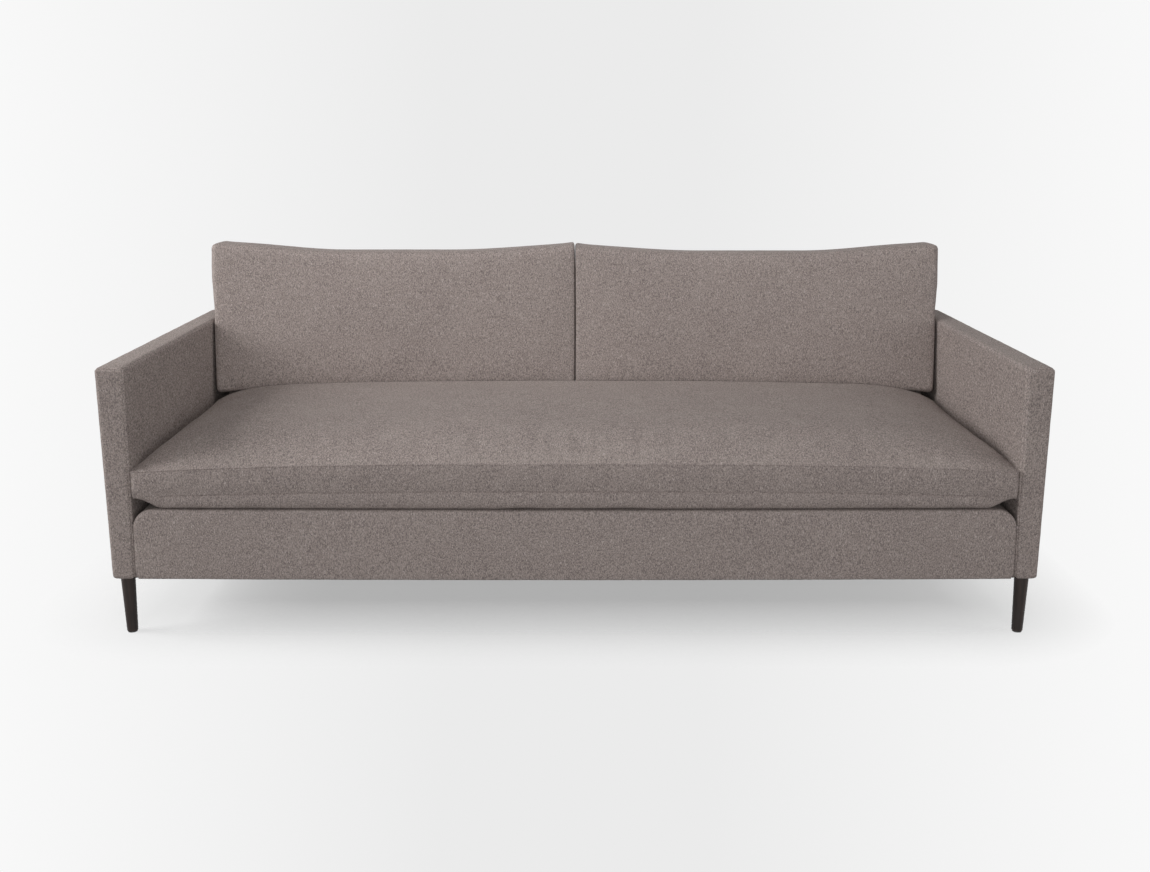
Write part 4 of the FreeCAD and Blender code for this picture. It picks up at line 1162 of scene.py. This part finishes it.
def makeBackCushion(side, name):
    width = pillow["outer"] - pillow["inner"]
    high = pillow["topMid"][side] - pillow["foot"]
    depth = pillow["depth"]
    across, along = pillowPlaces(width), pillowPlaces(high)
    # the shell's third direction runs from the back panel to the front panel, with the seam near the front
    boxing = seamPlaces(depth - pillow["seamBack"], pillow["step"], start=False)
    lap = seamPlaces(pillow["seamBack"], pillow["lapStep"], end=False) + depth - pillow["seamBack"]
    deep = np.concatenate([boxing, lap[1:]])
    seamRow = len(boxing) - 1
    keys, faces, counts = boxShell(across, along, deep)
    spots = np.stack([across[keys[:, 0]], depth - deep[keys[:, 2]], along[keys[:, 1]]], axis=1)
    edgeNear = np.minimum.reduce([spots[:, 0], width - spots[:, 0], spots[:, 2], high - spots[:, 2]])
    # soft corners, a little rounder along the top
    atCrest = smoothStep(spots[:, 2] / high, *pillowRanges["crest"])
    radius = pillow["edge"] + (pillow["crest"] - pillow["edge"]) * atCrest
    nearEnd = smoothStep(np.abs(2 * spots[:, 0] / width - 1), *pillowRanges["endAside"])
    nearEnd = nearEnd * smoothStep(spots[:, 2] / high, *pillowRanges["endUp"])
    ends = np.where(spots[:, 0] < width / 2, pillow["innerEnd"], pillow["outerEnd"])
    reach = np.stack([ends, radius, radius * (1 - pillow["endSharper"] * nearEnd)], axis=1)
    core = np.clip(spots, reach, np.array([width, depth, high]) - reach)
    unit = (spots - core) / reach
    spots = core + unit * reach / np.maximum(np.linalg.norm(unit, axis=1, keepdims=True), 1.0)
    x, behind, z = spots.T
    share = 2 * x / width - 1
    rise = np.clip(z / high, 0, 1)
    front = np.clip(1 - behind / depth, 0, 1)
    upBulge = np.clip((rise - pillow["bulgeFoot"]) / pillow["bulgeSpan"], 0, 1)
    fullness = np.sin(math.pi * upBulge) ** pillow["bulgePower"]
    fullness = fullness * (1 - pillow["bulgeFade"] * np.abs(share) ** 5)
    behind = behind - pillow["bulge"] * fullness * front ** 0.5
    ears = pillow["outerEar"] * smoothStep(share, *pillowRanges["outerEar"])
    ears = ears + pillow["innerEar"] * smoothStep(-share, *pillowRanges["innerEar"])
    z = z + ears * rise ** 2
    z = z - pillow["droop"] * smoothStep(share, *pillowRanges["droop"]) * (1 - rise) ** 3
    middle = np.sin(math.pi * front)
    swell = pillow["sideSwell"] * smoothStep(rise, *pillowRanges["swellUp"])
    swell = swell * smoothStep(share, *pillowRanges["swellAside"])
    x = x + swell * np.clip(middle, 0, 1) ** 0.5
    # the two cushions lean on each other along one wavy face
    wave = pillow["meetingWave"] * middle * np.sin(math.pi * rise) * (1 - smoothStep(x, 0.0, pillow["meetingReach"]))
    x = (pillow["inner"] + x) * side + wave
    y = pillow["front"] + behind + z * body["lean"]
    points = np.stack([x, y, pillow["foot"] + z], axis=1)
    if side > 0:
        faces = [face[::-1] for face in faces]
    seams = onRim(keys, counts) & (keys[:, 2] == seamRow)
    heldEnd = (keys[:, 0] == counts[0]) & (rise < pillow["heldBelow"])
    held = (keys[:, 1] == 0) | (keys[:, 2] == 0) | (keys[:, 0] == 0) | heldEnd
    points = puffUp(points, faces, seams | held, **pillowPuff)
    normals = vertexNormals(points, faces)
    slow = softNoise(points, pillowFolds["slowSize"], 41 if side > 0 else 42)
    uneven = pillowFolds["slow"] * slow * (1 - np.exp(-edgeNear / pillowFolds["slowStart"]))
    lift = np.where(keys[:, 2] == counts[2], uneven, 0) - np.where(seams & ~held, pillowFolds["valley"], 0)
    points = points + normals * lift[:, None]
    piece = makePiece("backCushion" + name, points, faces, "upholstery", "back_cushion_" + name.lower(),
                      ["back_cushion_cover_" + name.lower(), "back_cushion_fill_" + name.lower()])
    smoother(piece)
    return piece


makeSeatCushion()
makeBackCushion(1, "Right")
makeBackCushion(-1, "Left")
print("cushions filled")

# The pieces kept from the frame get their finishes
slots = {part["node"]: part["material_slot"] for part in frame["record"]["subparts"]}
for nodeName, node in nodes.items():
    material = finishes[slots[nodeName]]
    node.data.materials.clear()
    node.data.materials.append(material)

for piece in list(scene.objects):
    if "ridesOn" in piece:
        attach(piece, piece["ridesOn"])
print("pieces ride on their bodies")

# The floor darkens round the sofa's footprint, and away from it only the backdrop shows
studio = {
    "floorSize": 9.0,
    "floorShade": 0.88,
    "shadowFade": 0.44,
    "fadeInX": 0.15,
    "fadeInY": 0.27,
    "fadeLength": 0.42,
    "bounce": 0.11,
    # the backdrop tones are painted shade in the middle and painted light towards the sides
    "backdropMiddle": linear(235, 235, 235),
    "backdropSide": linear(249, 249, 249),
    "backdropFade": (0.10, 0.42),
    "worldLight": 0.05,
}


def makeFloor():
    size, shade = studio["floorSize"], studio["floorShade"]
    floor, mesh = bareMesh("floor", [(-size, -size, 0), (size, -size, 0), (size, size, 0), (-size, size, 0)],
                           [(0, 1, 2, 3)])
    material, tree, shader, place = startMaterial("paleFloor", {
        "Base Color": (shade, shade, shade, 1), "Roughness": 0.9, "Specular IOR Level": 0.1,
    })
    # how far a spot lies outside the middle of the sofa's footprint
    middle = (body["halfWidth"] - studio["fadeInX"], body["back"] - studio["fadeInY"], 0)
    past = vectorSums(tree, "SUBTRACT", vectorSums(tree, "ABSOLUTE", place)[0], middle)[0]
    away = vectorSums(tree, "LENGTH", vectorSums(tree, "MAXIMUM", past, (0, 0, 0))[0])["Value"]
    fade = spread(tree, away, 0.0, studio["fadeLength"], studio["shadowFade"], 1.0)
    ray = addNode(tree, "ShaderNodeLightPath").outputs
    seen = sums(tree, "MAXIMUM", ray["Is Camera Ray"], ray["Is Glossy Ray"])
    # towards the sofa the floor throws back only part of its light
    lost = sums(tree, "MULTIPLY", sums(tree, "SUBTRACT", 1.0, seen), 1 - studio["bounce"])
    clear = addNode(tree, "ShaderNodeBsdfTransparent")
    mixed = mixShaders(tree, sums(tree, "MULTIPLY_ADD", fade, seen, lost), shader.outputs[0], clear.outputs[0])
    feed(tree, mixed, tree.nodes["Material Output"].inputs["Surface"])
    mesh.materials.append(material)
    return floor


def makeWorld():
    world = bpy.data.worlds.new("studio")
    scene.world = world
    world.use_nodes = True
    tree = world.node_tree
    tree.nodes.clear()
    lighting = addNode(tree, "ShaderNodeBackground", {"Color": (1, 1, 1, 1), "Strength": studio["worldLight"]})
    # painted light and shade: the backdrop seen from the camera is darker straight ahead and lighter to the sides
    view = tree.nodes.new("ShaderNodeTexCoord").outputs["Generated"]
    ahead = addNode(tree, "ShaderNodeSeparateXYZ", {"Vector": view}).outputs
    aside = spread(tree, sums(tree, "ABSOLUTE", ahead["X"]), *studio["backdropFade"])
    tone = blendOf(tree, aside, studio["backdropMiddle"], studio["backdropSide"])
    seen = addNode(tree, "ShaderNodeBackground", {"Color": tone, "Strength": 1.0})
    ray = addNode(tree, "ShaderNodeLightPath").outputs
    through = sums(tree, "MAXIMUM", ray["Is Glossy Ray"], ray["Is Transmission Ray"])
    direct = sums(tree, "MAXIMUM", ray["Is Camera Ray"], through)
    mixed = mixShaders(tree, direct, lighting.outputs[0], seen.outputs[0])
    addNode(tree, "ShaderNodeOutputWorld", {"Surface": mixed})


lamps = {
    "leftSide": {"place": (-4.0, -0.5, 2.2), "aim": (0, 0, 0.5), "size": (2.0, 2.0), "power": 134},
    "rightSide": {"place": (4.0, -0.6, 1.6), "aim": (0, 0, 0.5), "size": (2.0, 2.0), "power": 30},
    "frontLow": {"place": (0, -4.6, 1.0), "aim": (0, 0, 0.5), "size": (4.0, 1.6), "power": 114},
    "topNear": {"place": (0, -0.20, 2.4), "aim": (0, 0, 0.4), "size": (3.0, 0.6), "power": 15},
    "behind": {"place": (0, 4.5, 1.7), "aim": (0, 0, 0.5), "size": (4.0, 1.4), "power": 42},
}


def makeLamp(name, look):
    lamp = bpy.data.lights.new(name, "AREA")
    lamp.shape = "RECTANGLE"
    lamp.size, lamp.size_y = look["size"]
    lamp.energy = look["power"]
    holder = bpy.data.objects.new(name, lamp)
    holder.location = look["place"]
    holder.visible_camera = False
    scene.collection.objects.link(holder)
    direction = Vector(look["aim"]) - Vector(look["place"])
    holder.rotation_euler = direction.to_track_quat("-Z", "Y").to_euler()
    return holder


camera = {"place": (0.0, -3.2852, 1.1749), "pitch": 13.62, "lens": 39.873, "shift": 0.00014}


def makeCamera():
    lens = bpy.data.cameras.new("camera")
    lens.lens = camera["lens"]
    lens.sensor_width = 36.0
    lens.sensor_fit = "HORIZONTAL"
    lens.shift_x = camera["shift"]
    holder = bpy.data.objects.new("camera", lens)
    holder.location = camera["place"]
    holder.rotation_euler = (math.radians(90 - camera["pitch"]), 0, 0)
    scene.collection.objects.link(holder)
    scene.camera = holder


makeFloor()
makeWorld()
for name, look in lamps.items():
    makeLamp(name, look)
makeCamera()
scene.view_settings.view_transform = "Standard"
print("studio set")
